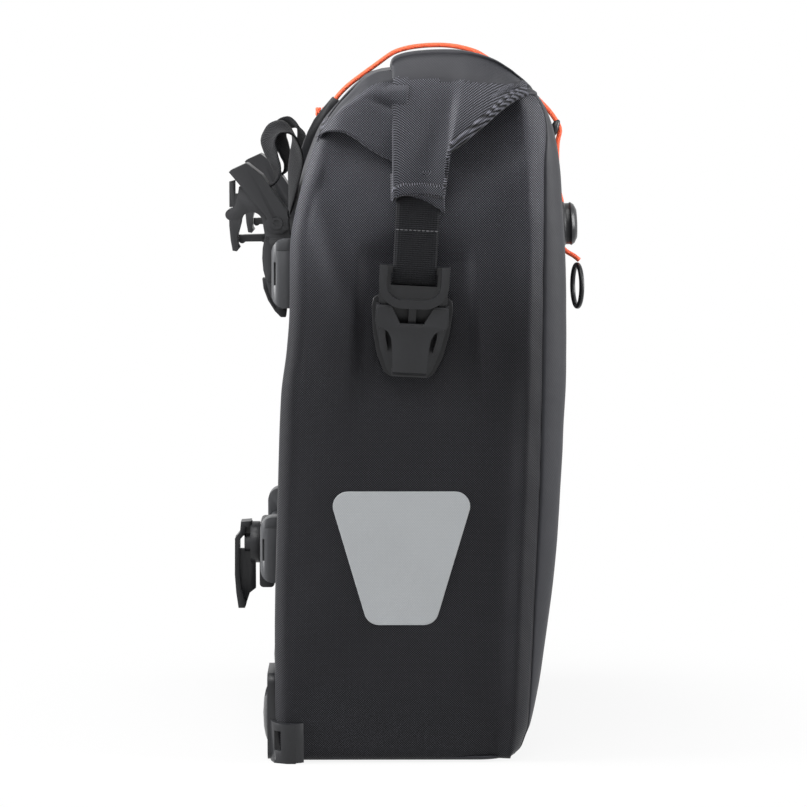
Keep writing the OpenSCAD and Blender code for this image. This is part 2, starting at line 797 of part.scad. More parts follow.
low_face = 13.6;              // front of the carrier, from the rail's rear face
low_pivot_z = low_rail_mid - 2;
low_base_r = 13;
low_base_t = 5.6;
fin_w = 12;                   // width of the fin's outer flange
fin_web = 4;                  // thickness of its web
module from_low_rail() {
  translate([low_rail_y, low_rail_mid])
  children();
}
module lower_carrier() {
  half_h = low_rail_h / 2 + run_gap + 3.2;
  color("#303135")
  difference() {
    along_x(-carrier_w / 2, carrier_w / 2)
    from_low_rail()
    difference() {
      union() {
        translate([run_gap, -half_h])
        rounded(low_face - run_gap, 2 * half_h, 2.5);
        translate([4.3, -28])
        rounded(low_face - 4.3, 22, 2.5);
      }
      translate([-low_rail_y, -low_rail_mid])
      rail_section(low_rail_y, low_rail_z, low_rail_h, run_gap);
    }
    // ribs moulded into the top and the skirt
    for (x = [-1.5:1:1.5])
      translate([x * carrier_w / 4.4 - 1, low_rail_y + 5, low_rail_mid + half_h - 1.2])
      cube([2, 20, 5]);
    for (x = [-1, 0, 1])
      translate([x * carrier_w / 3.6 - 3, low_rail_y + 6.4, low_rail_mid - 29])
      cube([6, 4.8, 13.5]);
    rod_y(low_rail_y + 9.4, low_rail_y + 30, 0, low_pivot_z, low_pin_r);
  }
}
// Outer edge of the fin from its top to its tip
fin_edge = [
  [19, 12], [25.6, 11.5], [26.2, 5], [29.4, 1], [29.6, -22], [28.8, -33], [27.4, -43], [23.4, -43]
];
module lower_hook() {
  y0 = low_rail_y + low_face + run_gap;
  color("#26272a")
  difference() {
    union() {
      rod_y(y0, y0 + low_base_t, 0, low_pivot_z, low_base_r);
      along_x(-fin_web / 2, fin_web / 2)
      from_low_rail()
      polygon(concat(fin_edge, [[20.4, -34], [low_face + 3, -31], [low_face + 3, 6]]));
      along_x(-fin_w / 2, fin_w / 2)
      from_low_rail()
      polygon(concat(fin_edge,
        [[22.6, -41], [25.8, -30], [26.6, -20], [26.4, 0], [23, 4], [22.6, 8.5], [21, 8]]));
      rod_y(y0 + low_base_t - 0.5, y0 + low_base_t + 4, 0, low_pivot_z, low_pin_r + 3);
    }
    rod_y(y0 - 1, y0 + 30, 0, low_pivot_z, low_pin_r);
    rod_y(y0 + low_base_t + 2, y0 + 30, 0, low_pivot_z, low_pin_r + 1.6);
  }
}
module lower_hook_pin() {
  y0 = low_rail_y + low_face + run_gap;
  color("#8d9096") {
    rod_y(low_rail_y + 9.6, y0 + low_base_t + 2, 0, low_pivot_z, low_pin_r - pin_gap);
    rod_y(y0 + low_base_t + 2.1, y0 + low_base_t + 3.8, 0, low_pivot_z, low_pin_r + 1.3);
    rod_y(y0 + low_base_t + 1.9, y0 + low_base_t + 2.2, 0, low_pivot_z, low_pin_r - pin_gap);
  }
}

// ---------------------------------------------------------------- corner guards

guard_t = 3.2;                // thickness of the guard's walls
guard_len = 46;               // length of a guard along the bag's rear edge
guard_front = 67;             // depth at which its side cheek ends
guard_z = 25;                 // height of the cheek
guard_top = 52;               // height of the rear bar
guard_screws = [for (s = [-1, 1]) for (d = [16, 36]) [s * (base_half - d), 41]];
module guard_screw_holes(r) {
  for (p = guard_screws)
    rod_y(rear_y(p[1]) - 12, rear_y(p[1]) + 8, p[0], p[1], r);
}
// Section of the guard round the bag's rear edge, in the frame of the left wall: towards the
// front and outwards from the corner of the wall planes
module guard_section() {
  reach = rear_y(0) - guard_front;
  r = rear_round;
  difference() {
    union() {
      translate([r, -r])
      circle(r + guard_t);
      translate([r, -r])
      square([reach - r, r + guard_t]);
      translate([-guard_t, -guard_len])
      square([guard_t + r, guard_len - r]);
    }
    translate([r, -r])
    circle(r + run_gap);
    translate([r, -guard_len - 1])
    square([reach, guard_len + 1 + run_gap]);
    translate([-run_gap, -guard_len - 1])
    square([reach, guard_len + 1 - r]);
  }
}
bumper_x = base_half - 23;
bumper_z = 26;
module corner_guard() {
  rear = rear_y(0);
  difference() {
    union() {
      // cheek and rear wall
      intersection() {
        on_left(rear, 0)
        translate([0, guard_z, 0])
        rotate([90, 0, 0])
        linear_extrude(guard_z + 10)
        guard_section();
        translate([-200, 0, 0.5])
        cube([200, 200, 60]);
      }
      // rear bar, screwed through the rear wall
      translate([guard_len - base_half, rear + seat_gap, 0.6])
      rotate([90, 0, 180])
      linear_extrude(guard_t + 1.6)
      rounded(guard_len - 4, guard_top, 6);
      // round bumper
      translate([-bumper_x, rear + 1, bumper_z])
      rotate([-90, 0, 0])
      rotate_extrude()
      polygon([[0, 0], [19, 0], [19, 2.6], [17.5, 4], [14, 5.4], [9, 6.4], [0, 7]]);
      // sole under the corner
      linear_extrude(2)
      translate([-base_half, 0])
      polygon([
        [-2.6, guard_front + 0.4], [-2.6, rear - 7], [0.6, rear + 0.6], [7, rear + guard_t - 0.4],
        [guard_len - 2, rear + guard_t - 0.4], [guard_len - 2, guard_front + 6],
        [guard_len - 8, guard_front + 0.4]
      ]);
    }
    // slot in the cheek
    translate([-base_half - 11, rear - 3.4, 8])
    cube([12, 4, 12]);
    for (p = guard_screws) {
      rod_y(60, 100, -p[0], p[1], screw_r + pin_gap);
      rod_y(rear + guard_t + 1.6 - screw_head_t, 100, -p[0], p[1], screw_head_r + pin_gap);
    }
  }
}
module corner_guard_left() {
  color("#222326")
  corner_guard();
}
module corner_guard_right() {
  color("#222326")
  mirror([1, 0, 0])
  corner_guard();
}
module corner_guard_screws() {
  color("#8d9096")
  for (p = guard_screws)
    screw(p[0], p[1], rear_y(0) + guard_t + 1.6);
}

// ---------------------------------------------------------------- closure buckles

lean = atan((top_half - base_half) / body_h);   // slope of the side walls
buckle_tilt = 3;              // how far the buckles tip towards the front
buckle_y = 0.6;               // depth of the buckle's foot
plate_t = 2;
// Local frame on the left wall: X towards the front, Y up the wall, Z outwards
module on_left(y, z) {
  translate([-half_w(z), y, z])
  rotate([0, -lean, 0])
  rotate([90, 0, -90])
  children();
}
module on_side(side, y, z) {
  if (side < 0)
    on_left(y, z)
    children();
  else
    mirror([1, 0, 0])
    on_left(y, z)
    children();
}
module at_buckle(side) {
  on_side(side, buckle_y, socket_z)
  rotate([0, 0, -buckle_tilt])
  children();
}
// Mirrors a drawn half to both sides of the local Y axis
module both() {
  children();
  mirror([1, 0, 0])
  children();
}
plate_z = 0.2;
socket_z0 = plate_z + plate_t;            // rear face of the socket, off the wall
socket_z1 = socket_z0 + socket_d;         // front face of the socket
arm_half = socket_w / 2;
arm_low = socket_h * 0.7;                 // underside of the arms
face_t = 2.4;
back_t = 1.8;
plug_t = socket_d - face_t - back_t - 2 * run_gap;
plug_z = socket_z0 + back_t + run_gap;
side_wall = 2.3;                          // walls at the ends of the arms
prong_half = arm_half - side_wall - run_gap;

module buckle_plate() {
  translate([0, 0, plate_z])
  linear_extrude(plate_t - 0.05)
  both()
  difference() {
    polygon([
      [0, -2.5], [11, -2.5], [14.5, 0], [19, 10], [22, 24], [23.4, 38], [22.6, 43], [20.4, 44.6],
      [0, 44.6]
    ]);
    translate([-1, 37])
    square([8, 3]);
  }
}
module socket_face() {
  both()
  difference() {
    polygon([
      [0, 0.6], [9.6, 0.6], [10.6, 16], [11.4, 22], [13.6, 26], [17, arm_low],
      [arm_half - 0.6, arm_low + 0.8], [arm_half, arm_low + 2], [arm_half - 0.4, socket_h - 1],
      [arm_half - 1.4, socket_h], [0, socket_h]
    ]);
    polygon([[-1, socket_h - 10.2], [6.8, socket_h - 10.2], [12.6, socket_h + 1], [-1, socket_h + 1]]);
  }
}
module buckle_socket() {
  difference() {
    union() {
      // rear plate
      translate([0, 0, socket_z0])
      linear_extrude(back_t)
      both()
      polygon([[0, -1.2], [10.4, -1.2], [13, 2], [17.4, 14], [19.6, 24], [arm_half, arm_low + 1],
        [arm_half, socket_h - 0.6], [0, socket_h - 0.6]]);
      // front face with its bevelled rim
      translate([0, 0, socket_z1 - face_t])
      linear_extrude(face_t - 0.6)
      socket_face();
      translate([0, 0, socket_z1 - 0.61])
      linear_extrude(0.61)
      scale([0.965, 0.975, 1])
      socket_face();
      // foot, stem walls and arm ends between the two
      translate([0, 0, socket_z0 + back_t - 0.1])
      linear_extrude(socket_d - back_t - face_t + 0.2)
      both() {
        translate([0, -0.6])
        square([9.8, 7]);
        polygon([[7.8, 6], [9.8, 6], [10.6, 16], [11.2, 22], [9, 24], [7.8, 22]]);
        polygon([[arm_half - side_wall, arm_low + 0.6], [arm_half - 0.4, arm_low + 0.8],
          [arm_half - 0.4, socket_h - 1.4], [arm_half - side_wall, socket_h - 0.8]]);
      }
    }
    // slope under the foot of the face
    translate([-15, -4.2, socket_z1 + 1])
    rotate([-35, 0, 0])
    cube([30, 6, 12]);
  }
}
plug_foot = 8.5;                          // lower end of the plug's guide in the socket
plug_shoulder = socket_h + 0.6;           // underside of the plug's frame
module plug_frame() {
  difference() {
    both()
    polygon([[0, plug_shoulder], [arm_half - 1.6, plug_shoulder], [arm_half - 1.2, plug_shoulder + 3],
      [arm_half - 2.2, 60], [17, 63.5], [0, 63.5]]);
    // webbing slot under the upper bar
    translate([-web_w / 2 - 0.8, 52.5])
    square([web_w + 1.6, 7]);
  }
}
loop_low = plug_shoulder - 1.6;           // underside of the finger loop, over the socket's notch
loop_round = 14;
module finger_loop() {
  mid = loop_low + loop_round;
  difference() {
    union() {
      translate([-loop_r, mid])
      square([2 * loop_r, plug_shoulder + 23 - mid]);
      both()
      translate([loop_r - loop_round, mid])
      circle(loop_round);
      translate([loop_round - loop_r, loop_low])
      square([2 * (loop_r - loop_round), loop_round]);
    }
    both()
    translate([loop_r - loop_round, mid])
    circle(loop_round - loop_t);
    translate([loop_round - loop_r, loop_low + loop_t])
    square([2 * (loop_r - loop_round), 30]);
    translate([loop_t - loop_r, mid])
    square([2 * (loop_r - loop_t), 30]);
  }
}
module buckle_plug() {
  translate([0, 0, plug_z])
  linear_extrude(plug_t)
  plug_frame();
  // centre guide and the two prongs
  translate([0, 0, plug_z])
  linear_extrude(plug_t) {
    translate([-2.2, plug_foot])
    square([4.4, plug_shoulder - plug_foot + 1]);
    both()
    translate([prong_half, 0])
    polygon([
      [-3, plug_shoulder + 1], [-0.4, plug_shoulder + 1], [-0.6, arm_low + 1], [0, arm_low - 2],
      [-0.6, 20], [-3, 14], [-5.2, 12.5], [-5.4, 15], [-3.8, 22], [-3.4, 30]
    ]);
  }
  // finger loop, standing proud of the frame
  translate([0, 0, plug_z + plug_t - 0.1])
  linear_extrude(socket_z1 - plug_z - plug_t + 2.4)
  finger_loop();
}
// Webbing from under the folded end, round the plug's bar
web_top = 104;                            // along the wall from the socket's foot
module closure_strap() {
  z0 = plug_z + plug_t + 0.4;
  translate([-web_w / 2, 0, 0])
  rotate([90, 0, 90])
  linear_extrude(web_w)
  polygon([
    [50, z0], [50, z0 + web_t], [62, z0 + web_t + 0.4], [80, plug_z + 6 + web_t],
    [web_top - 6, tongue_t + 1.4 + web_t], [web_top, tongue_t + 1.2 + web_t], [web_top, tongue_t + 1.2],
    [web_top - 6, tongue_t + 1.2], [80, plug_z + 5.6], [64, z0 + 0.2], [52, z0]
  ]);
}
module buckle_plate_left() {
  color("#222326")
  at_buckle(-1)
  buckle_plate();
}
module buckle_plate_right() {
  color("#222326")
  at_buckle(1)
  buckle_plate();
}
module buckle_socket_left() {
  color("#3a3b3e")
  at_buckle(-1)
  buckle_socket();
}
module buckle_socket_right() {
  color("#3a3b3e")
  at_buckle(1)
  buckle_socket();
}
module buckle_plug_left() {
  color("#2c2d30")
  at_buckle(-1)
  buckle_plug();
}
module buckle_plug_right() {
  color("#2c2d30")
  at_buckle(1)
  buckle_plug();
}
module closure_strap_left() {
  color("#26272a")
  at_buckle(-1)
  closure_strap();
}
module closure_strap_right() {
  color("#26272a")
  at_buckle(1)
  closure_strap();
}

// ---------------------------------------------------------------- reflectors

reflector_y = 4.8;
reflector_z = 85;
reflector_t = 0.6;
reflector_h = 81;
module reflector() {
  translate([0, 0, seat_gap])
  linear_extrude(reflector_t)
  hull()
  both() {
    translate([reflector_top / 2 - 9, reflector_h - 9])
    circle(9, $fn = 32);
    translate([reflector_foot / 2 - 9, 9])
    circle(9, $fn = 32);
  }
}
module reflector_left() {
  color("#b9bbbf")
  on_side(-1, reflector_y, reflector_z)
  reflector();
}
module reflector_right() {
  color("#b9bbbf")
  on_side(1, reflector_y, reflector_z)
  reflector();
}

// ---------------------------------------------------------------- cord, plate, stud and ring

function rear_mid(z) = rear_y(z) + bulge(0, z);
function front_mid(z) = front_y(z) - swell(0, z);
plate_w = 22;
plate_step = [4.3, 2.8];                  // from the plate's inner face to its outer one
plate_rows = [for (k = [0:6]) body_h - 58 + 7 * k];
plate_hole = [rear_mid(body_h - 22) + 2.6, body_h - 20.6];
module cord_plate() {
  inner = [for (z = plate_rows) [rear_mid(z) + 0.4, z]];
  color("#2b2d2f")
  difference() {
    along_x(-plate_w / 2, plate_w / 2)
    polygon(concat(inner, flip([for (p = inner) p + plate_step])));
    // groove for the cord, from the hole to the upper end
    along_x(-cord_d / 2 - 0.4, cord_d / 2 + 0.4)
    polygon([[plate_hole[0] - 9, plate_hole[1] - 3], [plate_hole[0] + 12, plate_hole[1] - 3],
      [plate_hole[0] + 12, plate_hole[1] + 1.6], [plate_hole[0] - 1, plate_hole[1] + 4],
      [plate_hole[0] - 2.5, plate_hole[1] + 14], [plate_hole[0] - 16, plate_hole[1] + 14]]);
  }
}
stud_y = front_mid(stud_z) - 0.3;
stud_lean = atan((front_mid(stud_z + stud_r) - front_mid(stud_z - stud_r)) / (2 * stud_r));
cord_y = -95.2;                           // depth of the cord where it passes the stud
module front_stud() {
  color("#303135")
  difference() {
    translate([0, stud_y, stud_z])
    rotate([90 - stud_lean, 0, 0])
    rotate_extrude()
    polygon([[0, 0], [stud_r - 1, 0], [stud_r, 1.2], [stud_r, 4], [stud_r - 1.2, 5], [stud_r - 1.2, 7.4],
      [stud_r - 0.6, 8.4], [stud_r - 2, 10.4], [stud_r - 5, 12], [0, 12.6]]);
    translate([0, cord_y, stud_z - stud_r - 5])
    cylinder(h = 2 * stud_r + 10, r = cord_d / 2 + 0.4);
  }
}
ring_turn = 9;
ring_mid = [0, -105.2, 275.8];
module pull_ring() {
  color("#222326")
  translate(ring_mid)
  rotate([0, 0, ring_turn])
  rotate([90, 0, 0])
  rotate_extrude($fn = 64)
  translate([ring_h / 2 - ring_bar / 2, 0])
  circle(ring_bar / 2, $fn = 24);
}

// Round cord through a list of points
cord_n = 8;
module cord(route) {
  n = len(route);
  function side(i) = route[min(n - 1, i + 1)] - route[max(0, i - 1)];
  stack([for (i = [0:n - 1])
    let (d = side(i) / norm(side(i)), u = [1, 0, 0], v = cross(u, d))
    [for (a = [0:cord_n - 1])
      route[i] + (cord_d / 2) * (cos(360 * a / cord_n) * u + sin(360 * a / cord_n) * v)]]);
}
// Route of the cord over the roll in depth and height, from the plate to the stud
top_route = [
  [52.5, 384.5], [48.6, 386.6], [45.2, 390.6], [41.6, 395], [36, 400.3], [28, 406.3], [19, 412.8],
  [11.1, 418.5], [6.1, 420.9], [0, 422.6], [-6.2, 423.6], [-13.6, 424.2], [-22.8, 424.2],
  [-32.1, 423], [-41.3, 420.4], [-47.6, 417], [-54.1, 412.5], [-57.3, 409.7], [-63.5, 404.8],
  [-66.8, 402.3], [-72.7, 397.3], [-78.6, 392.7], [-84.6, 386.8], [-87.8, 383.2], [-90.9, 378.9],
  [-93, 375.2], [-93.9, 372.2], [-93.5, 369.2], [-92.6, 365.4], [-92.2, 359], [-92.3, 350],
  [-92.8, 340], [-93.8, 333.5], [-95, 329], [-95.2, 326], [-95.2, 315]
];
ring_route = [
  [-95.2, 313], [-95.2, 305], [-95.4, 301], [-96.9, 298.4], [-99.6, 296.3], [-102.8, 294.5],
  [-105, 292.8], [-106.4, 291.6]
];
module top_cord() {
  color("#e0561f") {
    cord([for (p = top_route) [0, p[0], p[1]]]);
    translate([0, plate_hole[0] + 5.4, plate_hole[1] + 0.4])
    sphere(r = 2.9, $fn = 24);
  }
}
module ring_cord() {
  color("#e0561f")
  cord([for (p = ring_route) [0, p[0], p[1]]]);
}

back_panel();
side_panel_left();
side_panel_right();
front_panel();
base_panel();
rear_board();
roll_closure();
roll_end_left();
roll_end_right();
upper_rail();
upper_rail_caps();
upper_rail_screws();
lower_rail();
lower_rail_caps();
lower_rail_screws();
hook_body_left();
hook_body_right();
lift_lever_left();
lift_lever_right();
catch_left();
catch_right();
rail_lock_left();
rail_lock_right();
hook_pins_left();
hook_pins_right();
handle_strap();
lower_carrier();
lower_hook();
lower_hook_pin();
corner_guard_left();
corner_guard_right();
corner_guard_screws();
buckle_plate_left();
buckle_plate_right();
buckle_socket_left();
buckle_socket_right();
buckle_plug_left();
buckle_plug_right();
closure_strap_left();
closure_strap_right();
reflector_left();
reflector_right();
cord_plate();
front_stud();
pull_ring();
top_cord();
ring_cord();
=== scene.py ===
"""Looks of a roll-top rear pannier bag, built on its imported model. Lengths are in metres, +Z is up,
the outer face looks along -Y and the rack side along +Y."""
import json
import math

import bmesh
import bpy
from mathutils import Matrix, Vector, noise


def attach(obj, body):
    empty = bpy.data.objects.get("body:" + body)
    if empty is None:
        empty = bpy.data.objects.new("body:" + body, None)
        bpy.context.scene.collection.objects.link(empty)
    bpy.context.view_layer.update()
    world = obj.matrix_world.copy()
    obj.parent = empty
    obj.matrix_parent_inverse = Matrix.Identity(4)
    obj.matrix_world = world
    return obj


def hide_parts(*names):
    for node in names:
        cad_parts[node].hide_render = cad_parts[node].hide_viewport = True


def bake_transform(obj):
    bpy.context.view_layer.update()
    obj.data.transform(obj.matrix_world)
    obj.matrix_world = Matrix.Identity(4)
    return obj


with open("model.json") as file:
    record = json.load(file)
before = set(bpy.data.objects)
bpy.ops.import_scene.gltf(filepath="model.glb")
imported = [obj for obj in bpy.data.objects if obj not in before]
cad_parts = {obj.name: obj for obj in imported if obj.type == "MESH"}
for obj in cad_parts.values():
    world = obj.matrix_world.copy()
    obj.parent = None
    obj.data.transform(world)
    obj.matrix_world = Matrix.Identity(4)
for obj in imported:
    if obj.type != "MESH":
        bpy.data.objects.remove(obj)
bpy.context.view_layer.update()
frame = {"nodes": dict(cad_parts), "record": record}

MM = 0.001
SIDES = (("left", -1), ("right", 1))
nodes = frame["nodes"]


# ------------------------------------------------------------------ shader maths

class Wire:
    """A socket that takes part in Python sums. Each operation adds its Math node."""

    def __init__(self, finish, socket):
        self.finish = finish
        self.socket = socket

    def math(self, operation, *values):
        node = self.finish.node("ShaderNodeMath", {"operation": operation}, [self, *values])
        return Wire(self.finish, node.outputs[0])

    def __add__(self, other):
        return self.math("ADD", other)

    __radd__ = __add__

    def __mul__(self, other):
        return self.math("MULTIPLY", other)

    __rmul__ = __mul__

    def __sub__(self, other):
        return self.math("SUBTRACT", other)

    def __rsub__(self, other):
        return self * -1 + other

    def __pow__(self, other):
        return self.math("POWER", other)

    def sin(self):
        return self.math("SINE")

    def abs(self):
        return self.math("ABSOLUTE")

    def ramp(self, low, high):
        """0 below low, 1 above high and a smooth rise between them."""
        node = self.finish.node("ShaderNodeMapRange", {"interpolation_type": "SMOOTHSTEP"},
                                {"Value": self, "From Min": low, "From Max": high})
        return Wire(self.finish, node.outputs[0])


class Finish:
    """A material with one Principled shader, and short ways to build what feeds it."""

    def __init__(self, name, roughness=0.5, metallic=0.0, specular=0.5, sheen=0.0):
        self.material = bpy.data.materials.new(name)
        self.material.use_nodes = True
        self.tree = self.material.node_tree
        self.shader = self.tree.nodes["Principled BSDF"]
        self.shader.inputs["Roughness"].default_value = roughness
        self.shader.inputs["Metallic"].default_value = metallic
        self.shader.inputs["Specular IOR Level"].default_value = specular
        self.shader.inputs["Sheen Weight"].default_value = sheen
        self.shader.inputs["Sheen Roughness"].default_value = 0.4

    def node(self, kind, settings=None, values=()):
        node = self.tree.nodes.new(kind)
        for key, value in (settings or {}).items():
            setattr(node, key, value)
        pairs = values.items() if isinstance(values, dict) else enumerate(values)
        for key, value in pairs:
            if isinstance(value, Wire):
                self.tree.links.new(value.socket, node.inputs[key])
            else:
                node.inputs[key].default_value = value
        return node

    def object_point(self):
        return Wire(self, self.node("ShaderNodeTexCoord").outputs["Object"])

    def cloth_point(self):
        return Wire(self, self.node("ShaderNodeUVMap", {"uv_map": "cloth"}).outputs[0])

    def axes(self, point):
        split = self.node("ShaderNodeSeparateXYZ", {}, [point])
        return [Wire(self, split.outputs[i]) for i in range(3)]

    def noise(self, point, scale, detail=2.0, roughness=0.5):
        node = self.node("ShaderNodeTexNoise", {}, {
            "Vector": point, "Scale": scale, "Detail": detail, "Roughness": roughness})
        return Wire(self, node.outputs["Fac"])

    def mix(self, share, low, high):
        node = self.node("ShaderNodeMix", {"data_type": "RGBA"}, {0: share, 6: low, 7: high})
        return Wire(self, node.outputs[2])

    def shade(self, colour, share):
        """A colour multiplied by a share that changes over the surface."""
        if not isinstance(colour, Wire):
            colour = colour[:3]
        node = self.node("ShaderNodeVectorMath", {"operation": "SCALE"}, {0: colour, 3: share})
        return Wire(self, node.outputs[0])

    def set(self, **links):
        for name, value in links.items():
            self.tree.links.new(value.socket, self.shader.inputs[name.replace("_", " ")])

    def bump(self, height, depth, under=None):
        values = {"Height": height, "Distance": depth, "Strength": 1.0}
        node = self.node("ShaderNodeBump", {}, values)
        if under is not None:
            self.tree.links.new(under.socket, node.inputs["Normal"])
        return Wire(self, node.outputs[0])


def rgb(r, g, b):
    return (r, g, b, 1.0)


# ------------------------------------------------------------------ finishes

YARN = 0.70 * MM              # width of a yarn in the woven cloth
RIB = 1.18 * MM               # from rib to rib of the webbing
STRAND = 1.55 * MM            # from strand to strand across the webbing
PLAIT = 1.5 * MM              # from crossing to crossing of the cord's braid
LATTICE = 1.0 * MM            # from line to line of the reflective film's lattice
PAINTED_LIGHT_HEIGHTS = (0.240, 0.375)       # heights between which the woven cloth is painted paler upwards, as painted light on the upper bag
COATING = rgb(0.0160, 0.0164, 0.0196)
CLOTH = rgb(0.0315, 0.0320, 0.0380)


def weave(finish, point, yarn):
    """Plain weave: +1 where a warp yarn lies on top, -1 where a weft yarn does."""
    u, v, _ = finish.axes(point)
    return (u * (math.pi / yarn)).sin() * (v * (math.pi / yarn)).sin()


def woven_cloth():
    finish = Finish("woven_coated_cloth", roughness=0.52, specular=0.12, sheen=0.06)
    point = finish.cloth_point()
    over = weave(finish, point, YARN)
    crown = over.abs() ** 0.55
    cloudy = finish.noise(point, 9.0, 3.0)
    # Painted highlights: sparse painted glints of yarn sheen, laid on the warp crowns.
    painted_glint = finish.noise(point, 1150.0, 1.0).ramp(0.55, 0.75)
    worn = finish.noise(point, 60.0, 4.0, 0.6)
    # Painted light: warp crossings are painted lighter and weft crossings darker, as light falls on the
    # yarns.
    tone = 1.55 * over.ramp(-0.15, 0.6) + 0.9 * painted_glint * over.ramp(0.1, 0.9)
    # Painted light: the woven cloth is painted paler with height towards the roll, in place of the stronger
    # light on the bag's upper part.
    _, _, height = finish.axes(finish.object_point())
    painted_top_light = height.ramp(*PAINTED_LIGHT_HEIGHTS)
    tone = tone * (0.80 + 0.28 * cloudy + 0.14 * worn) * (0.62 + 1.45 * painted_top_light)
    finish.set(
        Base_Color=finish.shade(CLOTH, tone),
        Roughness=0.60 - 0.14 * crown + 0.06 * worn,
        Normal=finish.bump(crown + 0.8 * over, 0.05 * MM,
                           finish.bump(finish.noise(point, 130.0, 3.0), 0.35 * MM)))
    return finish.material


def coated_cloth():
    finish = Finish("smooth_coated_cloth", roughness=0.5, specular=0.19, sheen=0.04)
    point = finish.cloth_point()
    over = weave(finish, point, YARN * 1.15)
    cloudy = finish.noise(point, 8.0, 3.0)
    grain = finish.noise(point, 900.0, 3.0, 0.6)
    scuffed = finish.noise(point, 46.0, 5.0, 0.62)
    tone = (0.84 + 0.22 * cloudy + 0.12 * grain) + 0.10 * scuffed.ramp(0.56, 0.7) + 0.07 * over
    finish.set(
        Base_Color=finish.shade(COATING, tone),
        Roughness=0.44 + 0.12 * grain + 0.08 * scuffed,
        Normal=finish.bump(grain + 0.30 * over, 0.07 * MM,
                           finish.bump(finish.noise(point, 110.0, 3.0), 0.30 * MM)))
    return finish.material


def lining_cloth():
    finish = Finish("cloth_underside", roughness=0.75, specular=0.2)
    point = finish.cloth_point()
    over = weave(finish, point, YARN)
    finish.set(
        Base_Color=finish.shade(rgb(0.012, 0.0125, 0.0145), 0.8 + 0.3 * over),
        Normal=finish.bump(over, 0.08 * MM))
    return finish.material


def ribbed_webbing():
    """Polyester webbing. The first cloth axis runs along it and the second across it."""
    finish = Finish("ribbed_webbing", roughness=0.62, specular=0.07, sheen=0.05)
    point = finish.cloth_point()
    along, across, _ = finish.axes(point)
    wander = finish.noise(point, 240.0, 2.0)
    rib = ((along + wander * (0.22 * MM)) * (2 * math.pi / RIB)).sin()
    strand = (across * (2 * math.pi / STRAND)).sin()
    fuzz = finish.noise(point, 1500.0, 2.0)
    tone = 0.52 + 0.80 * rib.ramp(-0.7, 0.9) * (0.62 + 0.38 * strand.ramp(-0.6, 0.8)) + 0.34 * fuzz
    finish.set(
        Base_Color=finish.shade(rgb(0.0080, 0.0082, 0.0094), tone),
        Roughness=0.70 - 0.12 * rib,
        Normal=finish.bump(rib.ramp(-1.0, 0.7) + 0.25 * strand + 0.3 * fuzz, 0.26 * MM))
    return finish.material


def moulded_plastic(name, colour, roughness, grain_depth=0.02):
    """Satin injection-moulded plastic with a spark-eroded grain and slight handling marks."""
    finish = Finish(name, roughness=roughness, specular=0.30)
    point = finish.object_point()
    grain = finish.noise(point, 2600.0, 2.0, 0.6)
    flow = finish.noise(point, 34.0, 4.0, 0.6)
    rubbed = finish.noise(point, 150.0, 5.0, 0.65).ramp(0.55, 0.78)
    tone = 0.86 + 0.18 * grain + 0.12 * flow + 0.16 * rubbed
    finish.set(
        Base_Color=finish.shade(colour, tone),
        Roughness=(roughness - 0.10) + 0.14 * grain + 0.10 * flow - 0.05 * rubbed,
        Normal=finish.bump(grain, grain_depth * MM))
    return finish.material


def reflective_film():
    """Silver film of tiny beads behind a fine slanted lattice."""
    finish = Finish("reflective_film", roughness=0.42, metallic=0.35, specular=0.5)
    _, depth, height = finish.axes(finish.object_point())
    first = ((depth + height * 0.62) * (2 * math.pi / LATTICE)).sin()
    second = ((depth - height * 0.62) * (2 * math.pi / LATTICE)).sin()
    beads = finish.noise(finish.object_point(), 2100.0, 2.0)
    cloudy = finish.noise(finish.object_point(), 30.0, 4.0)
    lattice = first.ramp(-1.0, 0.4) * second.ramp(-1.0, 0.4)
    tone = 0.74 + 0.20 * lattice + 0.16 * beads + 0.10 * cloudy
    finish.set(
        Base_Color=finish.shade(rgb(0.315, 0.328, 0.338), tone),
        Roughness=0.50 - 0.12 * lattice,
        Normal=finish.bump(lattice + 0.6 * beads, 0.035 * MM))
    return finish.material


def braided_cord():
    """Elastic cord in a braided sleeve. The first cloth axis runs along it, the second round it."""
    finish = Finish("braided_orange_cord", roughness=0.55, specular=0.4, sheen=0.2)
    point = finish.cloth_point()
    along, around, _ = finish.axes(point)
    right = ((along + around) * (2 * math.pi / PLAIT)).sin()
    left = ((along - around) * (2 * math.pi / PLAIT)).sin()
    plait = right * left
    fuzz = finish.noise(point, 1200.0, 2.0)
    # Painted light: the plait's crossings are painted pale orange as highlights, and the dips between them
    # dark red as painted shade.
    colour = finish.mix(plait.ramp(-0.8, 0.8), rgb(0.50, 0.045, 0.014), rgb(0.93, 0.125, 0.032))
    finish.set(
        Base_Color=finish.shade(colour, 0.80 + 0.34 * fuzz),
        Normal=finish.bump(plait, 0.12 * MM))
    return finish.material


def brushed_steel():
    finish = Finish("plated_steel", roughness=0.34, metallic=1.0)
    point = finish.object_point()
    streak = finish.noise(point, 700.0, 3.0)
    dulled = finish.noise(point, 90.0, 3.0)
    finish.set(
        Base_Color=finish.shade(rgb(0.30, 0.305, 0.315), 0.8 + 0.3 * dulled),
        Roughness=0.22 + 0.22 * streak + 0.1 * dulled,
        Normal=finish.bump(streak, 0.01 * MM))
    return finish.material


def thread():
    finish = Finish("sewing_thread", roughness=0.5, sheen=0.2)
    point = finish.object_point()
    twist = finish.noise(point, 3500.0, 1.0)
    finish.set(
        Base_Color=finish.shade(rgb(0.055, 0.055, 0.060), 0.7 + 0.6 * twist),
        Normal=finish.bump(twist, 0.03 * MM))
    return finish.material


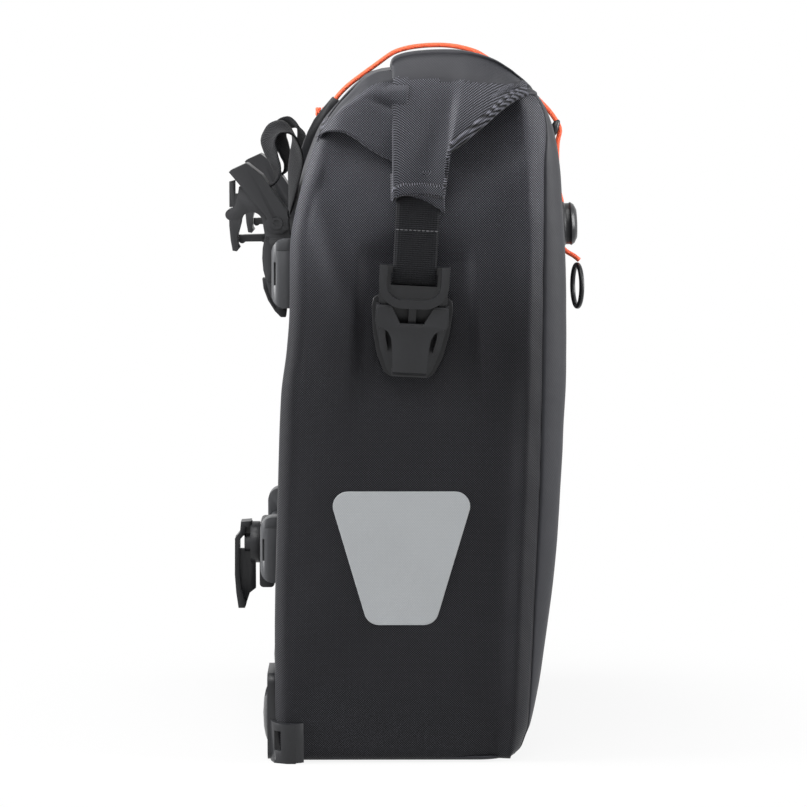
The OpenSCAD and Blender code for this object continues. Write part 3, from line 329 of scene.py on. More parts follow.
WOVEN = woven_cloth()
COATED = coated_cloth()
LINING = lining_cloth()
WEBBING = ribbed_webbing()
HOOK_GREY = moulded_plastic("hook_plastic", rgb(0.0220, 0.0224, 0.0242), 0.38)
LEVER_BLACK = moulded_plastic("lever_plastic", rgb(0.0165, 0.0168, 0.0184), 0.34)
BUCKLE_BLACK = moulded_plastic("buckle_plastic", rgb(0.0100, 0.0103, 0.0115), 0.30)
BUCKLE_FACE = moulded_plastic("buckle_face_plastic", rgb(0.0125, 0.0129, 0.0144), 0.34)
# The buckle plates get a darker copy of the buckle plastic: partly their own black, partly painted shade of
# the recess behind the buckle.
SHADED_PLATE_BLACK = moulded_plastic("buckle_plate_plastic_shaded", rgb(0.0060, 0.0062, 0.0072), 0.42)
RAIL_GREY = moulded_plastic("rail_plastic", rgb(0.036, 0.037, 0.040), 0.38)
GUARD_BLACK = moulded_plastic("guard_plastic", rgb(0.0125, 0.0129, 0.0144), 0.32)
BOARD_BLACK = moulded_plastic("stiffener_board", rgb(0.016, 0.016, 0.018), 0.60, 0.05)
REFLECTIVE = reflective_film()
ORANGE = braided_cord()
STEEL = brushed_steel()
THREAD = thread()


# ------------------------------------------------------------------ mesh helpers

def ramp(value, low, high):
    """0 below low, 1 above high and a smooth rise between them."""
    t = min(1.0, max(0.0, (value - low) / (high - low)))
    return t * t * (3 - 2 * t)


def bell(value, width):
    """1 at 0, and a smooth fall to nothing within a few widths on both sides."""
    return math.exp(-(value / width) ** 2)


def soft(p, q, size, seed):
    """Slow, fixed unevenness from -1 to 1 over two coordinates."""
    return noise.noise(Vector((p / size + seed, q / size + 0.37 * seed, 0.5)))


def smooth_line(*points):
    """A smooth function through (place, value) points that never overshoots between them."""
    places = [p[0] for p in points]
    values = [p[1] for p in points]
    secants = [(b - a) / (q - p) for p, q, a, b in
               zip(places, places[1:], values, values[1:])]
    slopes = [secants[0]]
    for before, after in zip(secants, secants[1:]):
        rising = before * after > 0
        slopes.append(2 * before * after / (before + after) if rising else 0.0)
    slopes.append(secants[-1])

    def at(place):
        place = min(places[-1], max(places[0], place))
        i = max(k for k in range(len(places) - 1) if places[k] <= place)
        step = places[i + 1] - places[i]
        t = (place - places[i]) / step
        return (values[i] * (1 + 2 * t) * (1 - t) ** 2 + slopes[i] * step * t * (1 - t) ** 2
                + values[i + 1] * t * t * (3 - 2 * t) - slopes[i + 1] * step * t * t * (1 - t))
    return at


def smooth_path(points, count):
    """count points at even steps along a smooth curve through points of any dimension."""
    ends = [[2 * a - b for a, b in zip(points[0], points[1])],
            [2 * a - b for a, b in zip(points[-1], points[-2])]]
    knots = [ends[0]] + [list(p) for p in points] + [ends[1]]
    fine = []
    for a, b, c, d in zip(knots, knots[1:], knots[2:], knots[3:]):
        for k in range(16):
            t = k / 16
            fine.append([0.5 * (2 * q + (r - p) * t + (2 * p - 5 * q + 4 * r - s) * t * t
                                + (3 * q - p - 3 * r + s) * t ** 3)
                         for p, q, r, s in zip(a, b, c, d)])
    fine.append(list(points[-1]))
    runs = [0.0]
    for a, b in zip(fine, fine[1:]):
        runs.append(runs[-1] + math.dist(a[:3], b[:3]))
    out, i = [], 0
    for k in range(count):
        goal = runs[-1] * k / (count - 1)
        while i < len(runs) - 2 and runs[i + 1] < goal:
            i += 1
        t = min(1.0, (goal - runs[i]) / max(1e-9, runs[i + 1] - runs[i]))
        out.append([a + (b - a) * t for a, b in zip(fine[i], fine[i + 1])])
    return out


def finished(piece, body, slot, *replaced):
    """Puts a finished piece on its body and hides the solids it stands for. slot is not used."""
    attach(piece, body)
    if replaced:
        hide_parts(*replaced)
    return piece


def new_piece(name, mesh, *materials):
    piece = bpy.data.objects.new(name, mesh)
    bpy.context.scene.collection.objects.link(piece)
    for material in materials:
        mesh.materials.append(material)
    return piece


def applied(piece):
    """Turns a piece's modifiers into plain mesh."""
    bpy.context.view_layer.update()
    shown = piece.evaluated_get(bpy.context.evaluated_depsgraph_get())
    mesh = bpy.data.meshes.new_from_object(shown)
    piece.modifiers.clear()
    piece.data = mesh
    return piece


def thickened(piece, thickness, lined=0):
    """Gives a cloth surface its wall, inwards. lined is the step from the outer material to the inner."""
    wall = piece.modifiers.new("wall", "SOLIDIFY")
    wall.thickness = thickness * MM
    wall.offset = -1.0
    wall.material_offset = lined
    wall.material_offset_rim = 0
    return applied(piece)


def smoothed(piece):
    piece.data.polygons.foreach_set("use_smooth", [True] * len(piece.data.polygons))
    return piece


def filled(mesh, within=math.inf, turned=False):
    """Fills the open edges within a distance of the origin, and turns the faces outwards on request."""
    shape = bmesh.new()
    shape.from_mesh(mesh)
    ends = [e for e in shape.edges if e.is_boundary and all(v.co.length < within for v in e.verts)]
    bmesh.ops.holes_fill(shape, edges=ends, sides=0)
    if turned:
        bmesh.ops.recalc_face_normals(shape, faces=shape.faces)
    shape.to_mesh(mesh)
    shape.free()
    return mesh


def heading(path, i):
    """Direction of a path of vectors at its point i."""
    return (path[min(i + 1, len(path) - 1)] - path[max(i - 1, 0)]).normalized()


def grid_mesh(name, rows, cloth, outward, closed=False):
    """A quad mesh through rows of points in millimetres, with the cloth's own coordinates in a
    UV map. outward is a direction that the middle of the mesh faces."""
    height, width = len(rows), len(rows[0])
    mesh = bpy.data.meshes.new(name)
    points = [[c * MM for c in p] for row in rows for p in row]
    spans = width if closed else width - 1
    faces = [(i * width + j, i * width + (j + 1) % width,
              (i + 1) * width + (j + 1) % width, (i + 1) * width + j)
             for i in range(height - 1) for j in range(spans)]
    middle = faces[(height - 1) // 2 * spans + spans // 2]
    a, b, d = (Vector(points[k]) for k in (middle[0], middle[1], middle[3]))
    if (b - a).cross(d - a).dot(Vector(outward)) < 0:
        faces = [f[::-1] for f in faces]
    mesh.from_pydata(points, [], faces)
    layer = mesh.uv_layers.new(name="cloth")
    flat = [c for row in cloth for c in row]
    for polygon in mesh.polygons:
        columns = [v % width for v in polygon.vertices]
        wraps = closed and 0 in columns and width - 1 in columns
        for loop, column, vertex in zip(polygon.loop_indices, columns, polygon.vertices):
            u, v = flat[vertex]
            if wraps and column == 0:
                v += closed
            layer.data[loop].uv = (u * MM, v * MM)
        polygon.use_smooth = True
    return mesh


def cloth_sheet(name, rows, cloth, outward, material, thickness=1.1):
    """A cloth sheet whose outer face runs through rows of points."""
    piece = new_piece(name, grid_mesh(name, rows, cloth, outward), material, LINING)
    return thickened(piece, thickness, lined=1)


def tube(name, points, radius, sides, material):
    """A round cord through a list of points in millimetres, with its ends closed."""
    path = [Vector(p) for p in points]
    girth = 2 * math.pi * radius
    rows, cloth, along = [], [], 0.0
    side = Vector((1, 0, 0))
    for i, point in enumerate(path):
        run = heading(path, i)
        side = (side - side.dot(run) * run).normalized()
        up = run.cross(side)
        if i:
            along += (point - path[i - 1]).length
        turn = [2 * math.pi * k / sides for k in range(sides)]
        rows.append([point + radius * (math.cos(a) * side + math.sin(a) * up) for a in turn])
        cloth.append([(along, girth * k / sides) for k in range(sides)])
    first = rows[len(rows) // 2][sides // 2] - path[len(rows) // 2]
    mesh = filled(grid_mesh(name, rows, cloth, first, closed=girth))
    return new_piece(name, mesh, material)


def band(name, path, width, thick, material, across_steps):
    """Webbing along rows of (place, direction across), with rounded selvedges."""
    places = [Vector(p) for p, _ in path]
    rows, cloth, along = [], [], 0.0
    shares = [k / across_steps - 0.5 for k in range(across_steps + 1)]
    outline = [(share, 1) for share in shares] + [(share, -1) for share in reversed(shares)]
    for i, place in enumerate(places):
        run = heading(places, i)
        across = Vector(path[i][1])
        across = (across - across.dot(run) * run).normalized()
        up = run.cross(across)
        if i:
            along += (place - places[i - 1]).length
        ring, skin = [], []
        for share, face in outline:
            edge = max(0.0, abs(share) - 0.44) / 0.06
            half = thick / 2 * math.sqrt(max(0.0, 1 - 0.75 * edge * edge))
            ring.append(place + across * (share * width) + up * (face * half))
            skin.append((along, share * width + (0 if face > 0 else width)))
        rows.append(ring)
        cloth.append(skin)
    middle = len(rows) // 2
    face = rows[middle][len(outline) // 2] - places[middle]
    mesh = filled(grid_mesh(name, rows, cloth, face, closed=width), turned=True)
    return new_piece(name, mesh, material)


# ------------------------------------------------------------------ walls of the bag

BODY_H = 406.0                # height of the walls' upper edge
BASE_HALF, TOP_HALF = 115.0, 163.0       # half widths at the foot and at that height
REAR_ROUND = 9.0              # rounding of the rear upright edges
FRONT_ROUND = 24.0            # rounding of the front upright edges
CREASE_TURN = math.radians(31)           # how sharply the side wall breaks at its crease
CREASE_PROUD = 3.2            # how far the crease stands out from the side wall
HOLLOW = 6.4                  # depth of the dent behind the buckle
FOLDED_CLOTH = 1.0            # thickness of the cloth in the sole, the roll and the ears
SOLE = 1.6                    # lowest row of the walls
WALL_ROWS = [SOLE, 2.4, 3.6, 5.2, 7.2] + [10 + 390.0 * k / 130 for k in range(131)]
SIDE_COLUMNS, BAND_COLUMNS = 70, 5       # from the rear edge to the crease, and on to the front seam
FRONT_COLUMNS, BACK_COLUMNS = 44, 50

# Depth of each upright line of the bag by its height
rear_y = smooth_line((0, 79.0), (6, 79.7), (70, 79.7), (166, 77.1), (220, 74.9), (249, 71.2), (272, 69.5),
                     (307, 69.0), (341, 62.6), (364, 55.6), (378, 49.9), (389, 42.5), (399, 34), (406, 26.6))
front_y = smooth_line((0, -64), (6, -66.8), (14, -69.7), (20, -72), (45, -76.5), (82, -80.8), (118, -84.5),
                      (154, -87), (196, -88.8), (237, -90), (272, -89.5), (307, -88.5), (330, -86.9),
                      (352, -85.3), (363, -84.1), (372, -82.3), (377, -81.1), (382, -79.4), (387.5, -77.0),
                      (392, -74.6), (395.3, -71.9), (398, -68.8), (400, -66))
crease_y = smooth_line((0, -60), (27, -62.5), (100, -64.7), (220, -68.2), (307, -68.5), (361, -66.3),
                       (384, -64), (392, -62), (400, -57))
seam_y = smooth_line((0, -67.4), (14, -70.3), (100, -73.5), (184, -76.1), (260, -76.5), (356, -76.4),
                     (374, -77.6), (384, -76.4), (390, -74), (395, -70.6), (400, -64.6))
# How far the middle of the front and of the back stands out, by height
swell = smooth_line((0, 0.4), (60, 3.2), (150, 4), (340, 4), (372, 1.8), (406, 0.4))
bulge = smooth_line((300, 0), (345, 4), (372, 3.2), (392, 0.6), (406, 0))


def half_w(z):
    return BASE_HALF + (TOP_HALF - BASE_HALF) * z / BODY_H


# Depth and height of a point on each fold, and its direction across
STRAINED = (-26, 326), (0.652, 0.758)
SLACK = (52, 322), (0.94, -0.34)


def by_fold(y, z, fold):
    """Distances across a fold and along it."""
    (fold_y, fold_z), (across_y, across_z) = fold
    dy, dz = y - fold_y, z - fold_z
    return dy * across_y + dz * across_z, dz * across_y - dy * across_z


def strained_fold(y, z):
    """The ridge that runs up and forward from the hem, with the valley in front of it."""
    across, along = by_fold(y, z, STRAINED)
    strained = ramp(along, -14, 6) * (1 - ramp(along, 44, 66))
    return (-3.2 * bell(across, 7) + 3.6 * ramp(across, 4, 17)) * strained


def slack_fold(y, z):
    """The steeper ridge towards the rear edge."""
    across, _ = by_fold(y, z, SLACK)
    return -2.4 * bell(across, 7) * ramp(z, 262, 300) * (1 - ramp(z, 346, 368))


def drawn_in(y, z):
    """How far the side wall is drawn in behind the buckle and under the folded end."""
    shoulder = 0.32 * abs(y + 3)
    lean = 0.05 * (250 - z)
    hollow = (ramp(y, -41 - lean, -33 - lean) * (1 - ramp(y, 26 + lean, 34 + lean)) * ramp(z, 196, 268)
              * (1 - ramp(z, 306 - shoulder, 324 - shoulder)))
    tuck = 5.5 * ramp(z, 318, 392) ** 1.5 + 3.0 * ramp(z, 372, 392) + 3.0 * ramp(z, 388, 400)
    dome = 2.6 * ramp(-y, 22, 66) * (1 - ramp(z, 300, 350))
    ripple = 1.0 * soft(y, z, size=60, seed=3) + 0.36 * soft(y, z, size=21, seed=8)
    crumple = 0.45 * soft(y * 0.5, z, size=13, seed=5) * ramp(z, 230, 330)
    return HOLLOW * hollow + tuck + strained_fold(y, z) + slack_fold(y, z) + dome + ripple + crumple


def rear_turn(d, z):
    """How far the side wall has turned in at a distance d from its rear edge."""
    depth = 4.5 * ramp(z, 40, 120) + 2.5 * ramp(z, 290, 330)
    reach = 42 + 16 * ramp(z, 290, 330)
    return depth * max(0.0, 1 - d / reach) ** 2


def foot_inset(z):
    """How far the walls round in towards the sole."""
    t = min(1.0, max(0.0, (8.0 - z) / 6.4))
    return 4.5 * (1 - math.sqrt(1 - 0.96 * t * t))


def edge_depth(z):
    """Half depth of the ellipse that rounds the front upright edge."""
    return (crease_y(z) - front_y(z)) / (1 - math.sin(CREASE_TURN))


def edge_point(z, turn):
    """Inset from the side plane and depth on the front upright edge, at a turn angle."""
    inset = FRONT_ROUND * (math.cos(CREASE_TURN) - math.cos(turn))
    return inset, crease_y(z) - edge_depth(z) * (math.sin(turn) - math.sin(CREASE_TURN))


def seam_turn(z):
    """Turn angle at which the front seam lies on that edge."""
    return math.asin(min(0.95, math.sin(CREASE_TURN) + (crease_y(z) - seam_y(z)) / edge_depth(z)))


def crease_lift(y, z):
    """How far the side wall stands out as it nears its wavering crease."""
    waver = 0.9 * soft(z, 0, size=17, seed=23) * ramp(-y, -crease_y(z) - 9, -crease_y(z))
    proud = CREASE_PROUD * ramp(z, 8, 50) * (1 - ramp(z, 345, 380))
    return waver + proud * ramp(-y, -crease_y(z) - 30, -crease_y(z)) ** 2


def side_wall(name, s):
    rows, cloth = [], []
    for z in WALL_ROWS:
        sole = foot_inset(z)
        side = half_w(z) - sole
        rear = rear_y(z) - 3.0 * ramp(z, 368, 385) - sole
        row = []
        for k in range(10):
            a = math.radians(86 - 86 * k / 9)
            x = side - REAR_ROUND * (1 - math.cos(a)) - drawn_in(rear, z) * 0.6 - rear_turn(0, z)
            row.append((x, rear - REAR_ROUND * (1 - math.sin(a))))
        start = rear - REAR_ROUND
        for k in range(1, SIDE_COLUMNS + 1):
            y = start + (crease_y(z) - start) * k / SIDE_COLUMNS
            fade = 0.6 + 0.4 * ramp(start - y, 0, 14)
            fade *= 1 - 0.75 * ramp(-y, -crease_y(z) - 10, -crease_y(z))
            lift = crease_lift(y, z)
            row.append((side - drawn_in(y, z) * fade - rear_turn(start - y, z) + lift, y))
        crease_x = row[-1][0]
        for k in range(1, BAND_COLUMNS + 1):
            turn = CREASE_TURN + (seam_turn(z) - CREASE_TURN) * k / BAND_COLUMNS
            inset, y = edge_point(z, turn)
            wave = 0.9 * soft(z, y, size=14, seed=2) + 0.35 * soft(z, y, size=6, seed=19)
            wave *= math.sin(math.pi * k / (BAND_COLUMNS + 1))
            row.append((crease_x - inset - lift * k / BAND_COLUMNS + wave, y + sole))
        rows.append([(s * x, y, z) for x, y in row])
        cloth.append([(y * s, z) for x, y in row])
    return cloth_sheet(name, rows, cloth, (s, 0, 0), WOVEN)


def front_wall():
    rows, cloth = [], []
    for z in WALL_ROWS:
        w, sole = half_w(z), foot_inset(z)
        drawn = drawn_in(crease_y(z), z) * 0.25
        edge = []
        first = seam_turn(z)
        for k in range(13):
            turn = first + (math.pi / 2 - first) * k / 12
            inset, y = edge_point(z, turn)
            proud = 0.35 * ramp(k, -0.5, 1.6)
            x = w - sole - drawn - inset
            edge.append((x + proud * math.cos(turn), y - proud * math.sin(turn) + sole))
        flat_x, flat_y = edge[-1]
        line = [(flat_x * (1 - 2 * k / FRONT_COLUMNS), flat_y) for k in range(1, FRONT_COLUMNS)]
        row = edge + line + [(-x, y) for x, y in reversed(edge)]
        points, skin, along = [], [], 0.0
        for k, (x, y) in enumerate(row):
            puffed = swell(z) * max(0.0, 1 - (x / w) ** 2)
            uneven = 0.5 * soft(x, z, size=70, seed=4) + 0.16 * soft(x, z, size=17, seed=6)
            points.append((x, y - puffed - uneven * ramp(w - abs(x), 0, 20), z))
            if k:
                along += math.dist(points[-1][:2], points[-2][:2])
            skin.append((along, z))
        rows.append(points)
        cloth.append(skin)
    return cloth_sheet("front_cloth", rows, cloth, (0, -1, 0), COATED)


def back_wall():
    """The back, which turns forward over its upper edge and on under the roll."""
    rows, cloth = [], []
    over = [(BODY_H + 2.4, 22.4), (410.2, 16), (411.2, 8), (411.0, -2)]
    upright = [(z, rear_y(z)) for z in WALL_ROWS + [403, BODY_H]]
    for z, depth in upright + over:
        turned, rounded = z > BODY_H, z < 372
        sole = foot_inset(z)
        rear = depth - sole
        w = half_w(min(z, BODY_H)) - rear_turn(0, z) - 0.6 * drawn_in(rear, z) - 0.4
        edge = []
        for k in range(7):
            a = math.radians(90 - 42 * k / 6 if rounded else 90)
            spread = 0.0 if rounded else 3.0 * k / 6
            x = w - sole - REAR_ROUND * (1 - math.cos(a)) + spread
            edge.append((x, rear - REAR_ROUND * (1 - math.sin(a))))
        edge.reverse()
        flat = edge[-1][0]
        line = [(flat * (1 - 2 * k / BACK_COLUMNS), rear) for k in range(1, BACK_COLUMNS)]
        points, skin = [], []
        for x, y in edge + line + [(-x, y) for x, y in reversed(edge)]:
            puffed = (bulge(z) if z > 300 and not turned else 0) * (1 - ramp(abs(x), 16, 60))
            uneven = 0.35 * soft(x, z, size=60, seed=7) * ramp(z, 310, 340)
            sag = 2.4 * (x / TOP_HALF) ** 2 * ramp(z, 385, 410)
            points.append((x, y + puffed + uneven, z - sag))
            skin.append((x, z + (26 - depth if turned else 0)))
        rows.append(points)
        cloth.append(skin)
    return cloth_sheet("back_cloth", rows, cloth, (0, 1, 0), COATED)


def sole_outline(inset, height):
    """The bag's outline at its foot, drawn in by an inset, with rounded corners."""
    w = half_w(4) - inset
    back, front = rear_y(4) - inset, front_y(4) + inset
    corners = ((w, back, 8, 0), (-w, back, 8, 90), (-w, front, 20, 180), (w, front, 20, 270))
    points = []
    for corner_x, corner_y, r, first in corners:
        middle_x = corner_x - math.copysign(r, corner_x)
        middle_y = corner_y - math.copysign(r, corner_y)
        for k in range(7):
            a = math.radians(first + 15 * k)
            points.append((middle_x + r * math.cos(a), middle_y + r * math.sin(a), height))
    return points


def base_cloth():
    """The sole: a shallow tray of cloth under the bag."""
    steps = ((1.6, 3.2), (2.6, 2.0), (4.2, 1.1), (8, 0.6), (22, 0.4), (46, 0.4), (60, 0.4))
    rings = [sole_outline(*step) for step in steps]
    rings.append([(x * 0.02, y * 0.02, z) for x, y, z in rings[-1]])
    cloth = [[(x, y) for x, y, z in ring] for ring in rings]
    mesh = filled(grid_mesh("base_cloth", rings, cloth, (0, 0, -1), closed=0.001), within=20 * MM)
    return thickened(new_piece("base_cloth", mesh, COATED), FOLDED_CLOTH)


# ------------------------------------------------------------------ rolled mouth and folded ends

# Outer line of the roll in depth and height, from its rear fold over the top to the front wall
ARCH = [(10.8, 413.2), (10.0, 416.0), (7.2, 418.0), (1, 419.8), (-9, 421.0), (-20, 421.3), (-31, 420.5),
        (-41, 418.2), (-49, 415.0), (-56, 410.6), (-62.5, 405.2), (-67.4, 400.6), (-70.6, 397.2)]
# Free edge of the roll on the side: along the hem of its end, up the fold and to the front seam
HEM = [(0.00, 10.0, 334.6), (0.066, 8.4, 336.8), (0.145, 4.4, 338.4), (0.29, -8.3, 338.6),
       (0.41, -18.6, 337.0), (0.455, -19.8, 345.0), (0.505, -20.5, 357.0), (0.54, -22.2, 362.6),
       (0.575, -27.0, 366.3), (0.615, -31.5, 369.7), (0.66, -36.5, 374.2), (0.705, -41.6, 378.1),
       (0.765, -47.7, 383.8), (0.825, -53.9, 388.8), (0.875, -58.9, 392.0), (0.925, -64.0, 394.4),
       (0.965, -67.9, 395.4), (1.0, -71.2, 394.6)]
hem_y = smooth_line(*[(t, y) for t, y, z in HEM])
hem_z = smooth_line(*[(t, z) for t, y, z in HEM])
# How far the free edge stands off the wall, and the rounding of the roof's side edge, along the roll
stand_off = smooth_line((0, 9.4), (0.4, 10.2), (0.48, 10.6), (0.6, 10.2), (0.75, 8.6), (0.88, 5.2),
                        (0.95, 1.6), (1, -3.0))
roof_round = smooth_line((0, 13), (0.8, 14), (0.92, 17), (1, 21))
SMOOTH_TO = 403.5             # height on the folded end at which the coated band meets the weave
ROLL_ROWS, ROOF_COLUMNS, END_COLUMNS, RIM_COLUMNS = 62, 18, 34, 10
ROOF_DROP = 24                # height over which the roof rounds down into the side
RIM = 6.0                     # width of the sewn rim along the free edge
SEAM_IN = 3.9                 # from the free edge to the groove of its seam


def roll_rows():
    """Depth, height, share along the roll, depth under its surface and shift back, for each row."""
    fold = [(-13, 3.4), (-6, 3.4), (-2.2, 3.2), (-0.6, 2.3), (0, 1.1), (-0.3, 0.3)]
    path = smooth_path(ARCH, ROLL_ROWS)
    start_y, start_z = path[0]
    rows = [(start_y + shift, start_z + 1.2, 0.0, under, shift) for shift, under in fold]
    rows += [(y, z, k / (ROLL_ROWS - 1), 0.0, 0.0) for k, (y, z) in enumerate(path) if k]
    return rows


def rounding(q, drop):
    """Turn from the level roof towards the upright side, at q along a row that rounds within drop."""
    return math.pi / 2 if q >= drop else math.acos(1 - q / drop)


def folded_end(y, z, t, q, length, drop, under):
    """Distance of the folded end from the middle of the bag, at q along a row of the given length."""
    share = (q / length) ** 0.8
    hump = math.sin(math.pi * share)
    crease = 0.9 * soft(y, z, size=26, seed=11) + 0.35 * soft(y, z, size=10, seed=12)
    out = stand_off(t) * ramp(share, 0.05, 1.0) + hump * 1.8 * (1 - ramp(t, 0.4, 0.8)) + crease * hump
    pleat = -1.8 * bell(y + 8 + 0.25 * (z - 345), 7) * ramp(share, 0.35, 0.8)
    slope = 5.0 * (1 - ramp(share, 0.1, 1.0)) * ramp(share, 0.0, 0.1)
    roundness = math.sin(rounding(q, drop))
    x = half_w(min(z, BODY_H)) - roof_round(t) * (1 - roundness) + out - slope
    stitched = ramp(t, 0.40, 0.48) * (1 - ramp(t, 0.86, 0.96))
    x += stitched * (0.35 * ramp(length - q, 4.4, 3.2) - 0.75 * bell(length - q - SEAM_IN, 0.55))
    x += (pleat if t < 0.45 else 0) - under * roundness
    return x


def turned_in(end, t, along, length, run):
    """Points and cloth places where the free edge is rounded over and tucked in behind itself."""
    x, y, z = end
    blunt = t < 0.95
    radius = 1.3 if blunt else 0.3
    points = []
    for angle in (50, 100, 150, 180):
        a = math.radians(angle)
        reach = radius * math.sin(a)
        points.append((x - radius * (1 - math.cos(a)), y + along[0] * reach, z + along[1] * reach,
                       (run + radius * a, y)))
    for back in (4, 10):
        reach = -min(back, 0.35 * length) * (1 if blunt else 0.02)
        points.append((x - 2 * radius - 0.1 * back, y + along[0] * reach, z + along[1] * reach,
                       (run + 4 + back, y)))
    return points


def roll():
    rows, cloth = [], []
    for y_a, z_a, t, under, shift in roll_rows():
        y_b, z_b = hem_y(t) + shift, hem_z(t)
        edge = half_w(min(z_a, BODY_H)) - roof_round(t)
        length = math.dist((y_a, z_a), (y_b, z_b))
        drop = min(length * 0.6, ROOF_DROP)
        along = (y_b - y_a) / length, (z_b - z_a) / length
        sag_end = 0.6 * ramp(z_a, 360, 400)
        half = []
        for k in range(ROOF_COLUMNS):
            x = edge * k / ROOF_COLUMNS
            puffed = swell(min(z_a, 385)) * (1 - (x / TOP_HALF) ** 2) * ramp(-y_a, 60, 84)
            uneven = 0.8 * soft(x, y_a, size=60, seed=9) + 0.3 * soft(x, y_a * 1.6, size=18, seed=10)
            uneven *= ramp(z_a, 385, 405)
            z = z_a - under - sag_end * (x / TOP_HALF) ** 2 + uneven * 0.7
            half.append((x, y_a - puffed, z, (x, y_a)))
        roof_x = half[-1][0]
        rim = min(RIM, length / 2)
        steps = [(length - rim) * (k / END_COLUMNS) ** 1.25 for k in range(END_COLUMNS + 1)]
        # the rim lies double: its columns run back from the free edge
        steps += [length - rim * k / RIM_COLUMNS for k in range(1, RIM_COLUMNS + 1)]
        for q in steps:
            y, z = y_a + along[0] * q, z_a + along[1] * q
            x = folded_end(y, z, t, q, length, drop, under)
            z -= under * math.cos(rounding(q, drop)) if q < drop else 0
            z -= sag_end * (1 - ramp((q / length) ** 0.8, 0.0, 0.5))
            half.append((x, y, z, (roof_x + q, y)))
        half += turned_in(half[-1][:3], t, along, length, roof_x + length)
        full = [(-x, y, z, (-c[0], c[1])) for x, y, z, c in reversed(half[1:])] + half
        rows.append([p[:3] for p in full])
        cloth.append([p[3] for p in full])
    piece = new_piece("roll_cloth", grid_mesh("roll_cloth", rows, cloth, (0, 0, 1)), COATED, WOVEN)
    end_from = half_w(BODY_H) - 16
    for polygon in piece.data.polygons:
        x, y, z = polygon.center / MM
        edge = SMOOTH_TO + 0.8 * soft(y, z, size=14, seed=20) + 0.05 * (y + 10)
        if abs(x) > end_from and z < edge and y >= -66:
            polygon.material_index = 1
    return thickened(piece, FOLDED_CLOTH)


# Lower lip and upper edge of the rear ear, in depth and height, from the rear towards the roll
EAR_LIP = [(52.0, 368.6), (51.0, 371.8), (48.0, 374.0), (43.8, 374.6), (37.5, 374.0), (31.2, 370.6),
           (25.0, 366.0), (17.6, 361.5), (10.6, 358.2), (4, 355)]
EAR_TOP = [(52.1, 373.4), (48.1, 378.7), (39.6, 390.5), (32.8, 397.9), (25.5, 405.6), (21.6, 408.4),
           (17.0, 410.5), (12.4, 410.9), (6, 410.9), (0, 410.5)]
EAR_COLUMNS, EAR_ROWS = 46, 40
# For each row behind the lip: how far it is tucked in, and how far up
EAR_TUCK = ((1.2, -0.4), (2.8, 0.2), (6.0, 2.4), (14.0, 9.0))
EAR_OVER = 2                  # rows that go on under the roll
EAR_BAND = 0.84               # share of the ear's height at which its coated band starts


def ear_folds(y, z):
    """Depth of the pinched folds where the ear is drawn together under the roll."""
    near = 1 - ramp(y, 14, 27)
    pinch = 2.6 * bell(z - 401.5 + 0.3 * (y - 12), 2.6) * (1 - ramp(y, 12, 20))
    pinch += 2.4 * bell(z - 388.5 - 0.32 * (y - 11), 2.2) * near
    pinch += 0.7 * bell(z - 406.4, 0.8) * near
    return pinch


def rear_ear(name, s):
    """The rear half of the gusset, folded forward into a soft triangle under the roll."""
    lip, top = smooth_path(EAR_LIP, EAR_COLUMNS), smooth_path(EAR_TOP, EAR_COLUMNS)
    rows, cloth = [], []
    for i in range(-len(EAR_TUCK), EAR_ROWS + EAR_OVER + 1):
        row, skin = [], []
        for k in range(EAR_COLUMNS):
            a = k / (EAR_COLUMNS - 1)
            b = min(1.0, max(0.0, i / EAR_ROWS))
            (y0, z0), (y1, z1) = lip[k], top[k]
            y, z = y0 + (y1 - y0) * b, z0 + (z1 - z0) * b
            swollen = 6.6 * ramp(a, 0.02, 0.3) * (1 - 0.35 * ramp(a, 0.55, 1.0))
            swollen -= 2.0 * (1 - ramp(a, 0, 0.12))
            fold = 0.7 * soft(y, z, size=24, seed=13) + 0.5 * soft(y + z, y - z, size=12, seed=14)
            roll_of = 0.9 * (1 - ramp(b, 0, 0.07))
            x = half_w(min(z, BODY_H)) + swollen * (1 - b) ** 0.7 + fold * b * (1 - b) * 3
            x = x - ear_folds(y, z) - roll_of - 8.0 * ramp(b, 0.66, 1.0) ** 2
            if i < 0:
                tucked, lift = EAR_TUCK[-i - 1]
                x -= tucked * ramp(a, 0.0, 0.15)
                z += lift * 0.8 * ramp(a, 0.0, 0.15)
            past = max(0, i - EAR_ROWS)
            row.append((s * (x - 3.0 * past), y + 1.1 * past, z - 2.4 * ramp(b, 0.7, 1.0)))
            skin.append(((y + 1.1 * past) * s, z + min(0, i) * 2))
        rows.append(row)
        cloth.append(skin)
    piece = new_piece(name, grid_mesh(name, rows, cloth, (s, 0, 0.3)), WOVEN, COATED)
    for polygon in piece.data.polygons:
        if polygon.index // (EAR_COLUMNS - 1) - len(EAR_TUCK) >= EAR_BAND * EAR_ROWS:
            polygon.material_index = 1
    return thickened(piece, FOLDED_CLOTH)


def hem_underlay(name, s):
    """The inner layer that shows below the hem of the folded end, towards the front."""
    lower = smooth_line((-19.6, 328.2), (-14, 332.0), (-8.4, 335.2), (-2, 337.4), (3, 338.6), (9, 339.0))
    rear, width, upper = 8.6, 28.2, 352
    rows, cloth = [], []
    for i in range(12):
        share = i / 11
        row, skin = [], []
        for k in range(25):
            y = rear - width * k / 24
            z = lower(y) + (upper - lower(y)) * share
            curl = 1.0 * math.exp(-share * 14)
            out = 8.4 - curl + 0.3 * soft(y, z, size=9, seed=15) + 0.6 * ramp(-y, 8, 19) * (1 - share)
            row.append((s * (half_w(z) + out), y, z))
            skin.append((y * s, z))
        rows.append(row)
        cloth.append(skin)
    return cloth_sheet(name, rows, cloth, (s, 0, 0), WOVEN, 0.8)


